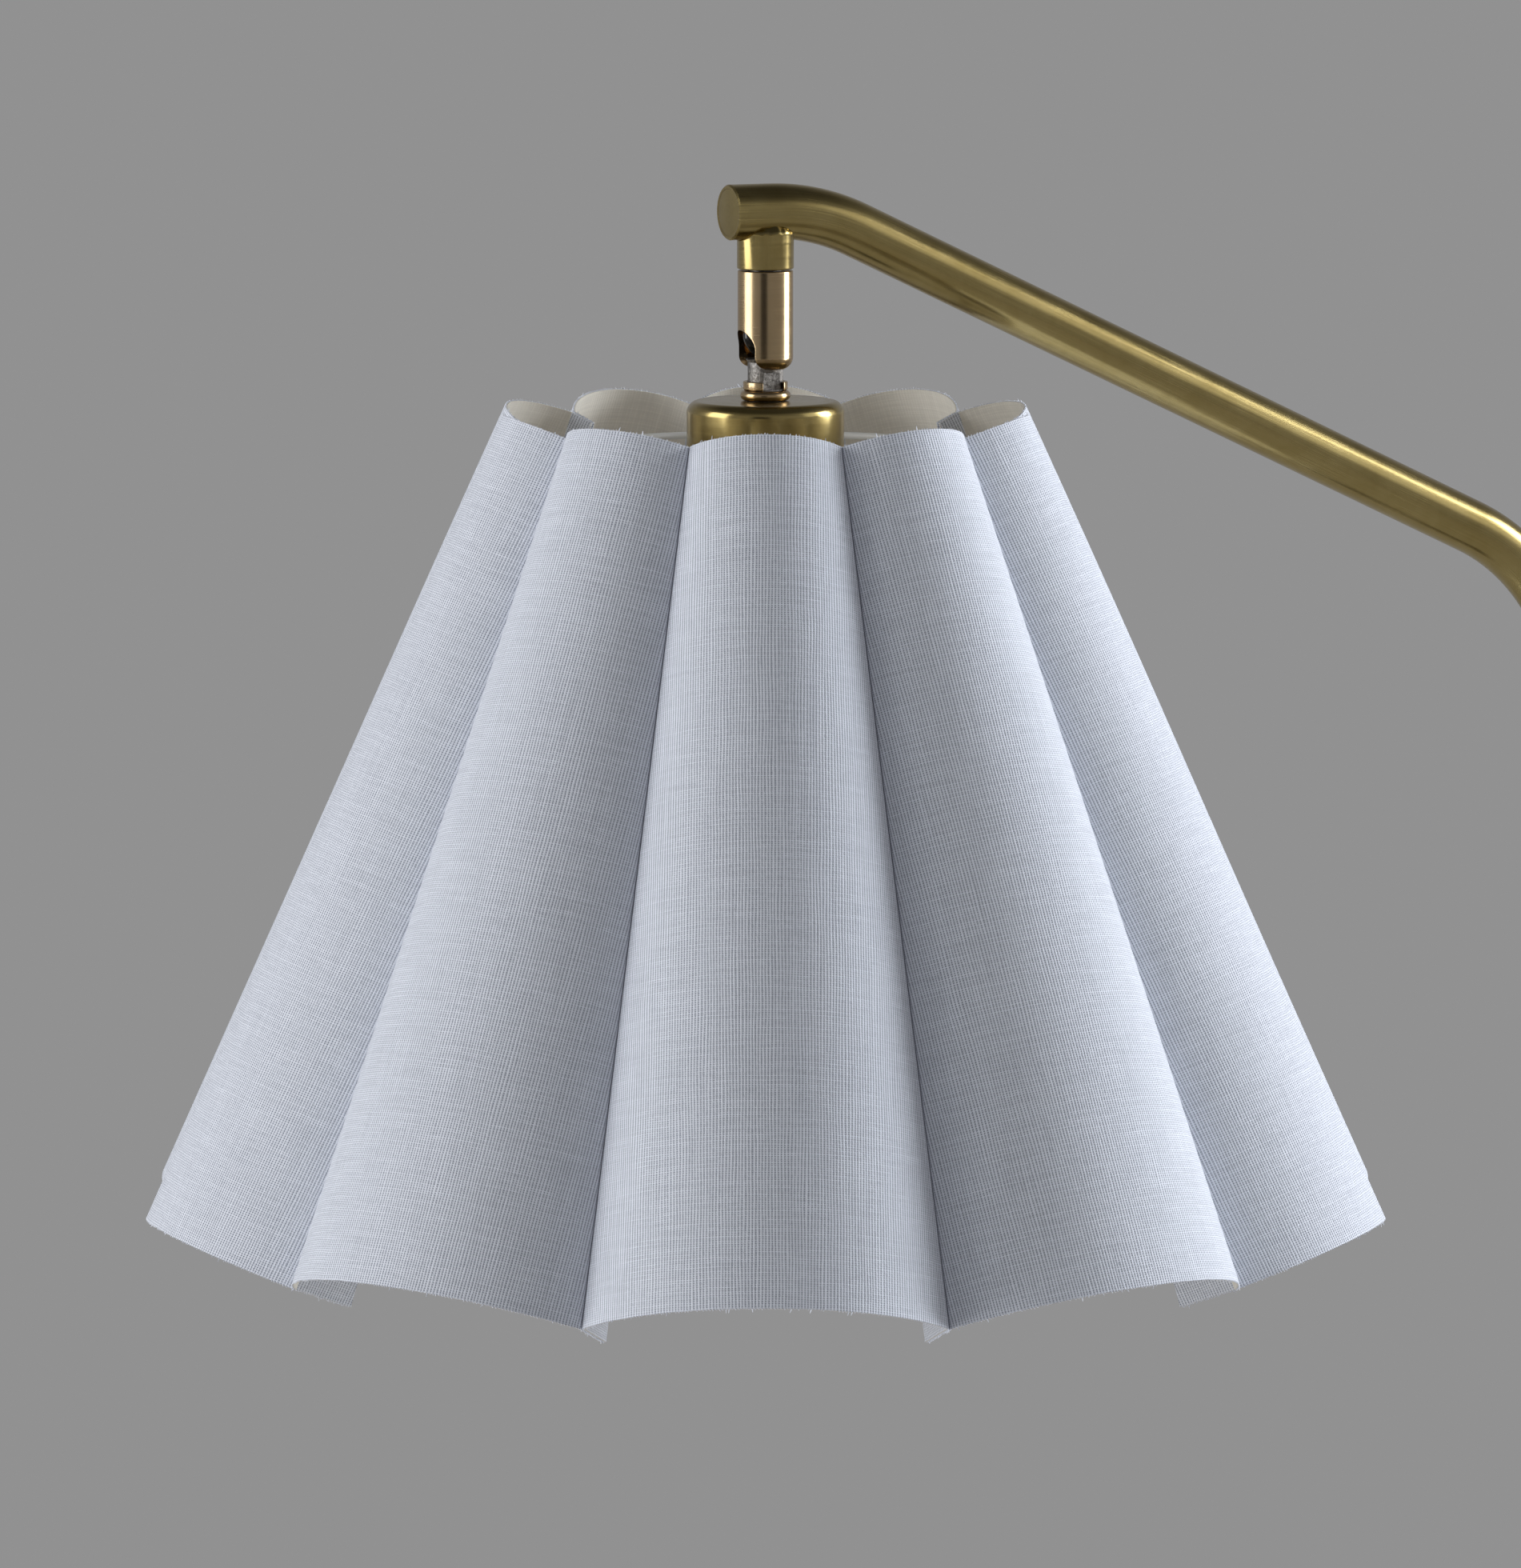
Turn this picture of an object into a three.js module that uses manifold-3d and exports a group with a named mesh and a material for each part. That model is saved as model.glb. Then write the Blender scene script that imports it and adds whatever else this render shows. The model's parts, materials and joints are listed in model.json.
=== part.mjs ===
// Arc floor lamp: a weighted round base, a three-piece pole whose top piece bends over into a
// short sloping arm, a hang-straight swivel under the arm's tip, and a socket that carries a
// fluted fabric shade of ten glued panels.
// Millimetres, +Z up. The origin is the centre of the base's underside; the arm points to -X.
import * as THREE from "three";
import { mergeVertices } from "three/addons/utils/BufferGeometryUtils.js";
import Module from "manifold-3d";

const wasm = await Module();
wasm.setup();

// ---- driving dimensions -------------------------------------------------------------------
const GAP = 0.3; // clearance kept between faces that touch

const TUBE_R = 8; // pole and arm, outside
const TUBE_WALL = 1.2;
const LEAD_R = 2.2; // inner electrical lead

const OVERALL_HEIGHT = 1524;
const REACH = 270; // pole axis to shade axis
const TIP_OVERHANG = 11.8; // shade axis to the arm's open end
const TIP_STRAIGHT = 1.3; // shade axis to the start of the tip bend
const ARM_SLOPE = THREE.MathUtils.degToRad(25);
const BEND_R = 65; // centre line of both bends
const POLE_JOINTS = [465, 905]; // heights where the pole unscrews

const BASE_R = 127;
const PAD_T = 2.5;
const WEIGHT_R = 120;
const WEIGHT_T = 21;
const POCKET_R = 18; // nut pocket under the weight
const POCKET_DEPTH = 16;
const COVER_T = 1;
const NIPPLE_R = 5; // threaded tube, outside
const NIPPLE_BORE_R = 3.4;

// Levels of the pieces under the arm's tip, as drops from the arm's centre line.
const BOSS_FOOT = 16.5;
const BARREL_TOP = 16.9;
const BARREL_CEILING = 25.3; // top of the hollow in the barrel
const PIVOT_DROP = 39.4; // centre of the swivel ball
const NUT_TOP = 48.8;
const NUT_FOOT = 51.2;
const BEAD_MIDDLE = 52.8;
const CAP_TOP = 54.4;
const CAP_FOOT = 76;
const STEM_FOOT = 66;
const SOCKET_TOP = 59.4;
const SPINDLE = 82; // switch spindle's axis
const SOCKET_SHELF = 90; // the ring thread starts under it
const SOCKET_FOOT = 118;
const BULB_TIP = 88.9;
const BULB_BASE_FOOT = 113;
const GLOBE_MIDDLE = 162;

const BOSS_R = 8.2;
const BALL_R = 6.4;
const STEM_R = 5.1;
const STEM_BORE_R = NIPPLE_R + 0.2; // hole in the pieces that are threaded on the stem
const STEM_FLAT = 4.3; // axis to each wrench flat
const BARREL_R = 8;
const SLOT_HALF = 5.5;

const CAP_R = 22.65;
const SOCKET_R = 19;
const SOCKET_THREAD_R = 16.5;
const RING_BORE_R = 16.8; // hole in the rings that fit over the socket's thread
const SHADE_LOBES = 10;
const SHADE_TOP_R = 69.6; // seam radius at the top edge
const SHADE_BOTTOM_R = 163.9;
const SHADE_TOP_DROP = 61.5; // arm centre line down to the seams' top ends
const SHADE_HEIGHT = 234.5;
const LOBE_BULGE = 0.585; // lobe depth as a share of half its chord
const FIN_TOP = 8; // depth of the glued fins
const FIN_BOTTOM = 20;
const PANEL_T = 0.8;
const FIRST_LOBE = THREE.MathUtils.degToRad(28.75);
const SPOKES = 3;

// Sides of round pieces, by size.
const LARGE = 48;
const MEDIUM = 28;
const SMALL = 20;

// ---- derived places -----------------------------------------------------------------------
const ARM_Z = OVERALL_HEIGHT - TUBE_R;
const AXIS_X = -REACH; // swivel and shade axis
const PIVOT_Z = ARM_Z - PIVOT_DROP;
const TUBE_BORE_R = TUBE_R - TUBE_WALL;
const PLUG_R = TUBE_BORE_R - GAP;
const WEIGHT_Z = PAD_T + GAP;
const COVER_TOP = WEIGHT_Z + WEIGHT_T + GAP + COVER_T;
const POLE_FOOT = COVER_TOP + GAP;
const INLET_Z = WEIGHT_Z + 5.4; // centre line of the lead where it enters the base

// ---- helpers ------------------------------------------------------------------------------
const finish = {
  brass: { color: 0x8a7c4c, metalness: 1, roughness: 0.34 },
  swivelBrass: { color: 0x9c8468, metalness: 1, roughness: 0.3 },
  steel: { color: 0x8f9092, metalness: 1, roughness: 0.4 },
  iron: { color: 0x2c2c2e, metalness: 0.5, roughness: 0.8 },
  felt: { color: 0x1d1d1f, metalness: 0, roughness: 0.95 },
  blackPlastic: { color: 0x111112, metalness: 0, roughness: 0.4 },
  whitePlastic: { color: 0xe9e7e0, metalness: 0, roughness: 0.45 },
  diffuser: { color: 0xf7f4ec, metalness: 0, roughness: 0.35 },
  linen: { color: 0xe4e7ee, metalness: 0, roughness: 0.9 },
};

const lamp = new THREE.Group();

function place(name, geometry, look, [x, y, z] = [0, 0, 0], parent = lamp) {
  const mesh = new THREE.Mesh(geometry, new THREE.MeshStandardMaterial(finish[look]));
  mesh.name = name;
  mesh.position.set(x, y, z);
  parent.add(mesh);
  return mesh;
}

// Closed solid of a three.js geometry, and back.
function solid(geometry) {
  const bare = geometry.index ? geometry.toNonIndexed() : geometry.clone();
  bare.deleteAttribute("normal");
  bare.deleteAttribute("uv");
  const merged = mergeVertices(bare, 1e-4);
  return new wasm.Manifold(
    new wasm.Mesh({
      numProp: 3,
      vertProperties: merged.attributes.position.array,
      triVerts: new Uint32Array(merged.index.array),
    }),
  );
}

function geometryOf(manifold) {
  const { vertProperties, triVerts } = manifold.getMesh();
  const geometry = new THREE.BufferGeometry();
  geometry.setAttribute("position", new THREE.BufferAttribute(vertProperties, 3));
  geometry.setIndex(new THREE.BufferAttribute(triVerts, 1));
  return geometry;
}

const cut = (geometry, ...tools) =>
  geometryOf(tools.reduce((left, tool) => left.subtract(solid(tool)), solid(geometry)));

// Solid of revolution about Z. The outline runs counter-clockwise in (radius, height).
function turned(outline, segments = MEDIUM) {
  const onAxis = (r) => Math.abs(r) < 1e-6;
  const points = outline.map(([r, z]) => new THREE.Vector2(onAxis(r) ? 0 : r, z));
  if (points[0].x > 0) points.push(points[0].clone());
  return new THREE.LatheGeometry(points, segments).rotateX(Math.PI / 2);
}

// Plain ring or disc between two heights.
function ring(inner, outer, low, high, segments = MEDIUM) {
  const face = inner > 0 ? [[inner, low], [outer, low], [outer, high], [inner, high]]
    : [[0, low], [outer, low], [outer, high], [0, high]];
  return turned(face, segments);
}

// Points of an arc in the (radius, height) plane, angles in degrees.
function arc(centre, radius, from, to, steps) {
  return Array.from({ length: steps + 1 }, (_, i) => {
    const a = THREE.MathUtils.degToRad(from + ((to - from) * i) / steps);
    return [centre[0] + radius * Math.cos(a), centre[1] + radius * Math.sin(a)];
  });
}

// Upright cylinder used as a cutting tool.
const drill = (radius, low, high, x = 0, y = 0) =>
  ring(0, radius, low, high, SMALL).translate(x, y, 0);

// Hexagonal nut with a round hole.
function hexNut(acrossFlats, bore, low, high) {
  const hexagon = new THREE.CylinderGeometry(
    acrossFlats / Math.sqrt(3), acrossFlats / Math.sqrt(3), high - low, 6);
  return cut(hexagon.rotateX(Math.PI / 2).translate(0, 0, (low + high) / 2),
    drill(bore, low - 1, high + 1));
}

// Curve in the XZ plane given by stations, so that only its bends are divided.
class StationCurve extends THREE.Curve {
  constructor(stations) {
    super();
    this.stations = stations;
  }
  at(t) {
    const scaled = THREE.MathUtils.clamp(t, 0, 1) * (this.stations.length - 1);
    const i = Math.min(Math.floor(scaled), this.stations.length - 2);
    return [this.stations[i], this.stations[i + 1], scaled - i];
  }
  getPoint(t, target = new THREE.Vector3()) {
    const [a, b, share] = this.at(t);
    return target.lerpVectors(a.point, b.point, share);
  }
  getTangent(t, target = new THREE.Vector3()) {
    const [a, b, share] = this.at(t);
    return target.lerpVectors(a.tangent, b.tangent, share).normalize();
  }
  getUtoTmapping(u) {
    return u;
  }
}

// Route in the XZ plane built from straight runs and circular bends. Headings are angles
// from +X towards +Z.
class Route {
  constructor(x, z, heading) {
    Object.assign(this, { x, z, heading, stations: [] });
    this.mark();
  }
  mark() {
    this.stations.push({
      point: new THREE.Vector3(this.x, 0, this.z),
      tangent: new THREE.Vector3(Math.cos(this.heading), 0, Math.sin(this.heading)),
    });
  }
  ahead(length) {
    this.x += length * Math.cos(this.heading);
    this.z += length * Math.sin(this.heading);
    this.mark();
    return this;
  }
  bend(radius, angle, steps) {
    const side = Math.sign(angle);
    const cx = this.x - side * radius * Math.sin(this.heading);
    const cz = this.z + side * radius * Math.cos(this.heading);
    for (let i = 0; i < steps; i += 1) {
      this.heading += angle / steps;
      this.x = cx + side * radius * Math.sin(this.heading);
      this.z = cz - side * radius * Math.cos(this.heading);
      this.mark();
    }
    return this;
  }
}

// Round bar or tube swept along a route.
function swept(route, radius, bore, sides) {
  const section = new THREE.Shape(circle(radius, sides));
  if (bore > 0) section.holes.push(new THREE.Path(circle(bore, sides)));
  return new THREE.ExtrudeGeometry(section, {
    steps: route.stations.length - 1,
    extrudePath: new StationCurve(route.stations),
  });
}

const circle = (radius, sides) => Array.from({ length: sides }, (_, i) => new THREE.Vector2(
  radius * Math.cos((2 * Math.PI * i) / sides), radius * Math.sin((2 * Math.PI * i) / sides)));

// ---- arm centre line ----------------------------------------------------------------------
const slopeStart = TIP_STRAIGHT + BEND_R * Math.sin(ARM_SLOPE);
const slopeEnd = REACH - BEND_R * (1 - Math.sin(ARM_SLOPE));
const slopeLength = (slopeEnd - slopeStart) / Math.cos(ARM_SLOPE);
const POLE_TOP = ARM_Z - BEND_R * (1 - Math.cos(ARM_SLOPE))
  - slopeLength * Math.sin(ARM_SLOPE) - BEND_R * Math.cos(ARM_SLOPE);

// Continues a route that stands on the pole axis over both bends. A tip bend of a smaller
// radius lies closer to the corner and leaves more straight run before and after it.
function overTheArm(route, tipBendR = BEND_R) {
  const spare = (BEND_R - tipBendR) * Math.tan(ARM_SLOPE / 2);
  return route
    .ahead(POLE_TOP - route.z)
    .bend(BEND_R, Math.PI / 2 - ARM_SLOPE, 9)
    .ahead(slopeLength + spare)
    .bend(tipBendR, ARM_SLOPE, 5);
}

// ---- base ---------------------------------------------------------------------------------
function addBase() {
  const padInset = 2;
  place("base_pad", ring(0, BASE_R - padInset, 0, PAD_T, LARGE), "felt");

  const top = WEIGHT_Z + WEIGHT_T;
  const chamfer = 8;
  const casting = turned([[0, WEIGHT_Z], [WEIGHT_R, WEIGHT_Z], [WEIGHT_R, top - chamfer],
    [WEIGHT_R - chamfer, top], [0, top]], LARGE);
  const channelLength = WEIGHT_R + 10;
  const channel = new THREE.BoxGeometry(channelLength, 9, 10)
    .translate(channelLength / 2, 0, WEIGHT_Z + 4);
  place("base_weight", cut(casting, channel,
    drill(POCKET_R, WEIGHT_Z - 1, WEIGHT_Z + POCKET_DEPTH),
    drill(NIPPLE_R + GAP, WEIGHT_Z, top + 1)), "iron");

  const shoulder = 10;
  const shoulderHub = [BASE_R - shoulder, COVER_TOP - shoulder];
  const cover = turned([[BASE_R - COVER_T, WEIGHT_Z], [BASE_R, WEIGHT_Z],
    ...arc(shoulderHub, shoulder, 0, 90, 4), [NIPPLE_R + GAP, COVER_TOP],
    [NIPPLE_R + GAP, COVER_TOP - COVER_T], ...arc(shoulderHub, shoulder - COVER_T, 90, 0, 4)],
  LARGE);
  const neckR = 3.7; // of the bushing, where it passes through the cover
  const inletR = neckR + 0.4;
  const inletHole = new THREE.CylinderGeometry(inletR, inletR, 12, SMALL)
    .rotateZ(Math.PI / 2).translate(BASE_R, 0, INLET_Z);
  place("base_cover", cut(cover, inletHole), "brass");

  const halfLength = 5;
  const lipR = 5.2;
  const bushing = turned([[LEAD_R + GAP, -halfLength], [neckR, -halfLength], [neckR, 2],
    [lipR, 2.6], [lipR, 4.2], [lipR - 0.8, halfLength], [LEAD_R + GAP, halfLength]], SMALL);
  place("cord_bushing", bushing.rotateY(Math.PI / 2), "blackPlastic", [BASE_R - 1.4, 0, INLET_Z]);

  const web = WEIGHT_Z + POCKET_DEPTH; // underside of the iron that the nut pulls on
  const washerT = 1.5;
  const washerFoot = web - GAP - washerT;
  const nutT = 5.2;
  const nutFoot = washerFoot - GAP - nutT;
  place("base_washer", ring(NIPPLE_R + GAP, 11, washerFoot, web - GAP, SMALL), "steel");
  place("base_nut", hexNut(17, NIPPLE_R + GAP, nutFoot, nutFoot + nutT), "steel");
  place("base_nipple", ring(NIPPLE_BORE_R, NIPPLE_R, nutFoot - 0.5, POLE_FOOT + 20, SMALL),
    "steel");
  place("pole_foot_insert", ring(NIPPLE_R + GAP, PLUG_R, POLE_FOOT, POLE_FOOT + 24, SMALL),
    "steel");

  const bore = TUBE_R + GAP;
  const collarR = 15;
  const rimT = 2.2;
  const collarTop = 8;
  place("base_collar", turned([[bore, 0], [collarR, 0], [collarR, rimT],
    ...arc([collarR - 4, rimT], 4, 0, 70, 3), [10.4, collarTop], [bore, collarTop]]), "brass",
  [0, 0, POLE_FOOT]);
}

// ---- pole and arm -------------------------------------------------------------------------
function addPole() {
  const [lower, upper] = POLE_JOINTS;
  const studHalf = 22;
  place("pole_lower", ring(TUBE_BORE_R, TUBE_R, POLE_FOOT, lower - GAP / 2, SMALL), "brass");
  place("pole_middle", ring(TUBE_BORE_R, TUBE_R, lower + GAP / 2, upper - GAP / 2, SMALL), "brass");
  ["pole_stud_lower", "pole_stud_upper"].forEach((name, i) => {
    const height = POLE_JOINTS[i];
    place(name, ring(NIPPLE_BORE_R, PLUG_R, height - studHalf, height + studHalf, SMALL), "steel");
  });
}

function addArm() {
  const route = overTheArm(new Route(0, POLE_JOINTS[1] + GAP / 2, Math.PI / 2));
  route.ahead(TIP_STRAIGHT + TIP_OVERHANG);
  const tube = swept(route, TUBE_R, TUBE_BORE_R, SMALL);
  place("arm_tube", cut(tube, drill(4, ARM_Z - TUBE_R - 2, ARM_Z, AXIS_X)), "brass");

  const endX = AXIS_X - TIP_OVERHANG;
  place("arm_end_cap", ring(0, PLUG_R, 0, 7, SMALL).rotateY(Math.PI / 2), "brass",
    [endX, 0, ARM_Z]);

  const saddle = swept(route, TUBE_R + GAP, 0, SMALL);
  const bossTop = 5.2;
  const boss = ring(0, BOSS_R, ARM_Z - BOSS_FOOT, ARM_Z - bossTop).translate(AXIS_X, 0, 0);
  const bossBore = drill(NIPPLE_R + GAP, ARM_Z - BOSS_FOOT - 1, ARM_Z, AXIS_X);
  place("arm_boss", cut(boss, saddle, bossBore), "brass");
  place("swivel_nipple", ring(NIPPLE_BORE_R, NIPPLE_R, GAP - BARREL_CEILING, -10, SMALL), "steel",
    [AXIS_X, 0, ARM_Z]);

  // The lead enters through the base, climbs the pole and turns down through the boss.
  const turnR = LEAD_R + 2.4;
  const tipBendR = BEND_R - (turnR - TIP_STRAIGHT) / Math.tan(ARM_SLOPE / 2);
  const inletX = BASE_R + 2;
  const leadFoot = BARREL_CEILING - 0.6;
  const lead = new Route(inletX, INLET_Z, Math.PI)
    .ahead(inletX - turnR).bend(turnR, -Math.PI / 2, 4);
  overTheArm(lead, tipBendR).bend(turnR, Math.PI / 2, 4).ahead(leadFoot - turnR);
  place("arm_lead", swept(lead, LEAD_R, 0, 8), "blackPlastic");
}

// ---- swivel -------------------------------------------------------------------------------
function addSwivel() {
  const swivel = new THREE.Group();
  swivel.position.set(AXIS_X, 0, PIVOT_Z); // the ball's centre
  lamp.add(swivel);

  const low = -6.16;
  const high = PIVOT_DROP - BARREL_TOP;
  const ceiling = PIVOT_DROP - BARREL_CEILING;
  const cornerR = 3.9;
  const seatR = BALL_R + 0.35;
  const mouthR = STEM_R + 0.4;
  const mouth = THREE.MathUtils.radToDeg(Math.acos(mouthR / seatR));
  const cornerX = BARREL_R - cornerR;
  const foot = THREE.MathUtils.radToDeg(Math.acos((mouthR - cornerX) / cornerR));
  const barrel = turned([
    ...arc([cornerX, low + cornerR], cornerR, -foot, 0, 4),
    [BARREL_R, high - 0.3], [BARREL_R - 0.3, high],
    [NIPPLE_R + GAP, high], [NIPPLE_R + GAP, ceiling], [seatR, ceiling],
    ...arc([0, 0], seatR, 0, -mouth, 3)]);
  const slot = new THREE.Shape()
    .moveTo(-SLOT_HALF, low - 2)
    .lineTo(SLOT_HALF, low - 2)
    .absarc(0, 0, SLOT_HALF, 0, Math.PI)
    .closePath();
  const slotTool = new THREE.ExtrudeGeometry(slot, { depth: 12, bevelEnabled: false,
    curveSegments: 10 }).rotateX(Math.PI / 2).rotateZ(-Math.PI / 2);
  place("swivel_barrel", cut(barrel, slotTool), "swivelBrass", [0, 0, 0], swivel);

  // The lead bulges out into the slot, so that it has length to spare when the head tilts.
  const bulge = new THREE.CatmullRomCurve3([[0, 13.8], [-0.8, 10.4], [-3.6, 6.9], [-4.7, 3.8],
    [-3.2, 0.8], [-0.4, -1], [0, -2.4]].map(([x, z]) => new THREE.Vector3(x, 0, z)));
  place("swivel_lead", new THREE.ExtrudeGeometry(new THREE.Shape(circle(LEAD_R, 8)),
    { steps: 12, extrudePath: bulge }), "blackPlastic", [0, 0, 0], swivel);
}

// ---- head: everything that hangs on the swivel's stem -------------------------------------
const head = new THREE.Group();
head.position.set(AXIS_X, 0, PIVOT_Z);

// Height in the head group of a level given as a drop from the arm's centre line.
const drop = (below) => PIVOT_DROP - below;

function addStem() {
  const rim = -2.9; // top face of the cut-off ball
  const rimAngle = THREE.MathUtils.radToDeg(Math.asin(rim / BALL_R));
  const neckAngle = -THREE.MathUtils.radToDeg(Math.acos(STEM_R / BALL_R));
  const bore = LEAD_R + 0.5;
  const threadR = NIPPLE_R - 0.1;
  const stem = turned([[bore, drop(STEM_FOOT)], [threadR, drop(STEM_FOOT)],
    [threadR, drop(NUT_FOOT)], [STEM_R, drop(NUT_FOOT)],
    ...arc([0, 0], BALL_R, neckAngle, rimAngle, 2), [bore, rim]]);
  const [flatLength, cutDepth, flatHeight] = [14, 4, 5.2];
  const flats = [-1, 1].map((side) => new THREE.BoxGeometry(flatLength, cutDepth, flatHeight)
    .translate(0, side * (STEM_FLAT + cutDepth / 2), drop(NUT_FOOT) + flatHeight / 2));
  place("swivel_stem", cut(stem, ...flats), "steel", [0, 0, 0], head);

  const nutR = 6.45;
  const notch = new THREE.BoxGeometry(6.6, 8, 6).translate(0, -6, drop((NUT_TOP + NUT_FOOT) / 2));
  place("swivel_lock_nut", cut(ring(STEM_R + GAP, nutR, drop(NUT_FOOT), drop(NUT_TOP)), notch),
    "swivelBrass", [0, 0, 0], head);
  const beadR = 1.3; // half the bead's height
  place("swivel_bead", turned([[STEM_BORE_R, drop(BEAD_MIDDLE) - beadR],
    ...arc([5.85, drop(BEAD_MIDDLE)], beadR, -90, 90, 5),
    [STEM_BORE_R, drop(BEAD_MIDDLE) + beadR]]), "swivelBrass", [0, 0, 0], head);
  place("head_lead", ring(0, LEAD_R, drop(84), rim - GAP, 8), "blackPlastic", [0, 0, 0], head);
}

function addSocket() {
  const top = drop(CAP_TOP);
  const skirt = drop(CAP_FOOT);
  const wall = 0.8;
  const shoulder = 3.4;
  const shoulderHub = [CAP_R - shoulder, top - shoulder];
  place("socket_cap", turned([[CAP_R - wall, skirt], [CAP_R, skirt],
    ...arc(shoulderHub, shoulder, 0, 90, 4), [STEM_BORE_R, top], [STEM_BORE_R, top - wall],
    ...arc(shoulderHub, shoulder - wall, 90, 0, 3)]), "brass", [0, 0, 0], head);
  const nutTop = top - wall - GAP;
  place("cap_nut", hexNut(15, STEM_BORE_R, nutTop - 3.3, nutTop), "steel", [0, 0, 0], head);

  const shellR = 14.6;
  const shellWall = 0.9;
  const shellTop = 87;
  const floorT = 0.8;
  const floorBoreR = 8;
  const cavityR = shellR + GAP;
  const cavityTop = drop(86);
  const body = turned([[STEM_BORE_R, cavityTop], [cavityR, cavityTop],
    [cavityR, drop(SOCKET_FOOT)], [SOCKET_THREAD_R, drop(SOCKET_FOOT)],
    [SOCKET_THREAD_R, drop(SOCKET_SHELF)], [SOCKET_R, drop(SOCKET_SHELF)],
    [SOCKET_R, drop(SOCKET_TOP)], [STEM_BORE_R, drop(SOCKET_TOP)]]);
  const spindleR = 2.2;
  const holeR = spindleR + 0.4;
  const spindleHole = new THREE.CylinderGeometry(holeR, holeR, 12, SMALL)
    .rotateZ(Math.PI / 2).translate(SOCKET_R, 0, drop(SPINDLE));
  place("socket_body", cut(body, spindleHole), "blackPlastic", [0, 0, 0], head);
  const shellFoot = drop(SOCKET_FOOT - 2);
  place("screw_shell", turned([[shellR - shellWall, shellFoot], [shellR, shellFoot],
    [shellR, drop(shellTop)], [floorBoreR, drop(shellTop)], [floorBoreR, drop(shellTop + floorT)],
    [shellR - shellWall, drop(shellTop + floorT)]]), "brass", [0, 0, 0], head);
  const contactTop = cavityTop - GAP;
  place("centre_contact", turned([[0, drop(88.4)], [3, drop(88)], [4.5, contactTop],
    [0, contactTop]], SMALL), "brass", [0, 0, 0], head);

  // Turn knob, on a spindle across the socket towards the pole.
  const knobR = 5.5;
  const knobEnd = 25.6;
  const rounding = 1.6;
  const knob = turned([[0, 0], [spindleR, 0], [spindleR, 10], [4.6, 10.6], [knobR, 12.5],
    ...arc([knobR - rounding, knobEnd - rounding], rounding, 0, 90, 3), [0, knobEnd]], SMALL);
  place("switch_knob", knob.rotateY(Math.PI / 2), "blackPlastic", [14, 0, drop(SPINDLE)], head);
}

function addBulb() {
  const tip = drop(BULB_TIP);
  const [rootR, crestR, threadPitch] = [12.3, 13.2, 4.5];
  const threads = Array.from({ length: 4 }, (_, i) => [[rootR, tip - 5 - threadPitch * i],
    [crestR, tip - 7.2 - threadPitch * i]]).flat().reverse();
  place("bulb_base", turned([[0, drop(BULB_BASE_FOOT)], [rootR, drop(BULB_BASE_FOOT)],
    ...threads, [rootR, tip - 4], [7, tip - 1.2], [3.6, tip], [0, tip]], SMALL), "steel",
  [0, 0, 0], head);

  const housingTop = drop(BULB_BASE_FOOT) - GAP;
  const housingFoot = drop(144);
  const neckR = 13.1;
  place("bulb_housing", turned([[0, housingFoot], [27.5, housingFoot], [24, drop(132)],
    [17, drop(121.5)], [neckR, drop(118.8)], [neckR, housingTop], [0, housingTop]]),
  "whitePlastic", [0, 0, 0], head);

  const globeR = 30;
  const globeZ = drop(GLOBE_MIDDLE);
  const shell = 1.2;
  const neckAngle = 24;
  const dome = (r, from, to) => arc([0, globeZ], r, from, to, 6);
  const neck = (r) => [r * Math.cos(THREE.MathUtils.degToRad(neckAngle)), housingFoot - GAP];
  place("bulb_globe", turned([...dome(globeR, -90, neckAngle), neck(globeR),
    neck(globeR - shell), ...dome(globeR - shell, neckAngle, -90)]), "diffuser",
  [0, 0, 0], head);
}

// ---- shade --------------------------------------------------------------------------------
const seamAngle = Math.PI / SHADE_LOBES;
const coneAngle = Math.atan((SHADE_BOTTOM_R - SHADE_TOP_R) / SHADE_HEIGHT);
const seamRadiusAt = (share) => THREE.MathUtils.lerp(SHADE_BOTTOM_R, SHADE_TOP_R, share);
const finDepthAt = (share) => THREE.MathUtils.lerp(FIN_BOTTOM, FIN_TOP, share);

// Outline of one panel across its width, in the plane square to the lobe's length:
// x runs along the chord and y outwards from it. inset moves it into the panel's thickness.
function panelOutline(share, inset, arcSteps) {
  const chord = seamRadiusAt(share) * Math.sin(seamAngle) - GAP / 2;
  const bulge = chord * LOBE_BULGE;
  const radius = (chord ** 2 + bulge ** 2) / (2 * bulge);
  const sweep = 2 * Math.atan(LOBE_BULGE);
  const finTurn = Math.atan(Math.tan(seamAngle) * Math.cos(coneAngle));
  const mitre = inset / Math.cos((Math.PI / 2 - sweep + finTurn) / 2);
  const mitreTurn = (sweep - (Math.PI / 2 - finTurn)) / 2 + Math.PI / 2 - finTurn;
  const side = [];
  for (let i = 0; i < arcSteps; i += 1) {
    const a = (sweep * i) / arcSteps;
    side.push([(radius - inset) * Math.sin(a),
      (radius - inset) * Math.cos(a) - (radius - bulge)]);
  }
  side.push([chord - mitre * Math.sin(mitreTurn), -mitre * Math.cos(mitreTurn)]);
  const depth = finDepthAt(share);
  side.push([chord - depth * Math.sin(finTurn) - inset * Math.cos(finTurn),
    -depth * Math.cos(finTurn) + inset * Math.sin(finTurn)]);
  const mirrored = side.slice(1).reverse().map(([x, y]) => [-x, y]);
  return [...mirrored, ...side];
}

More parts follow.
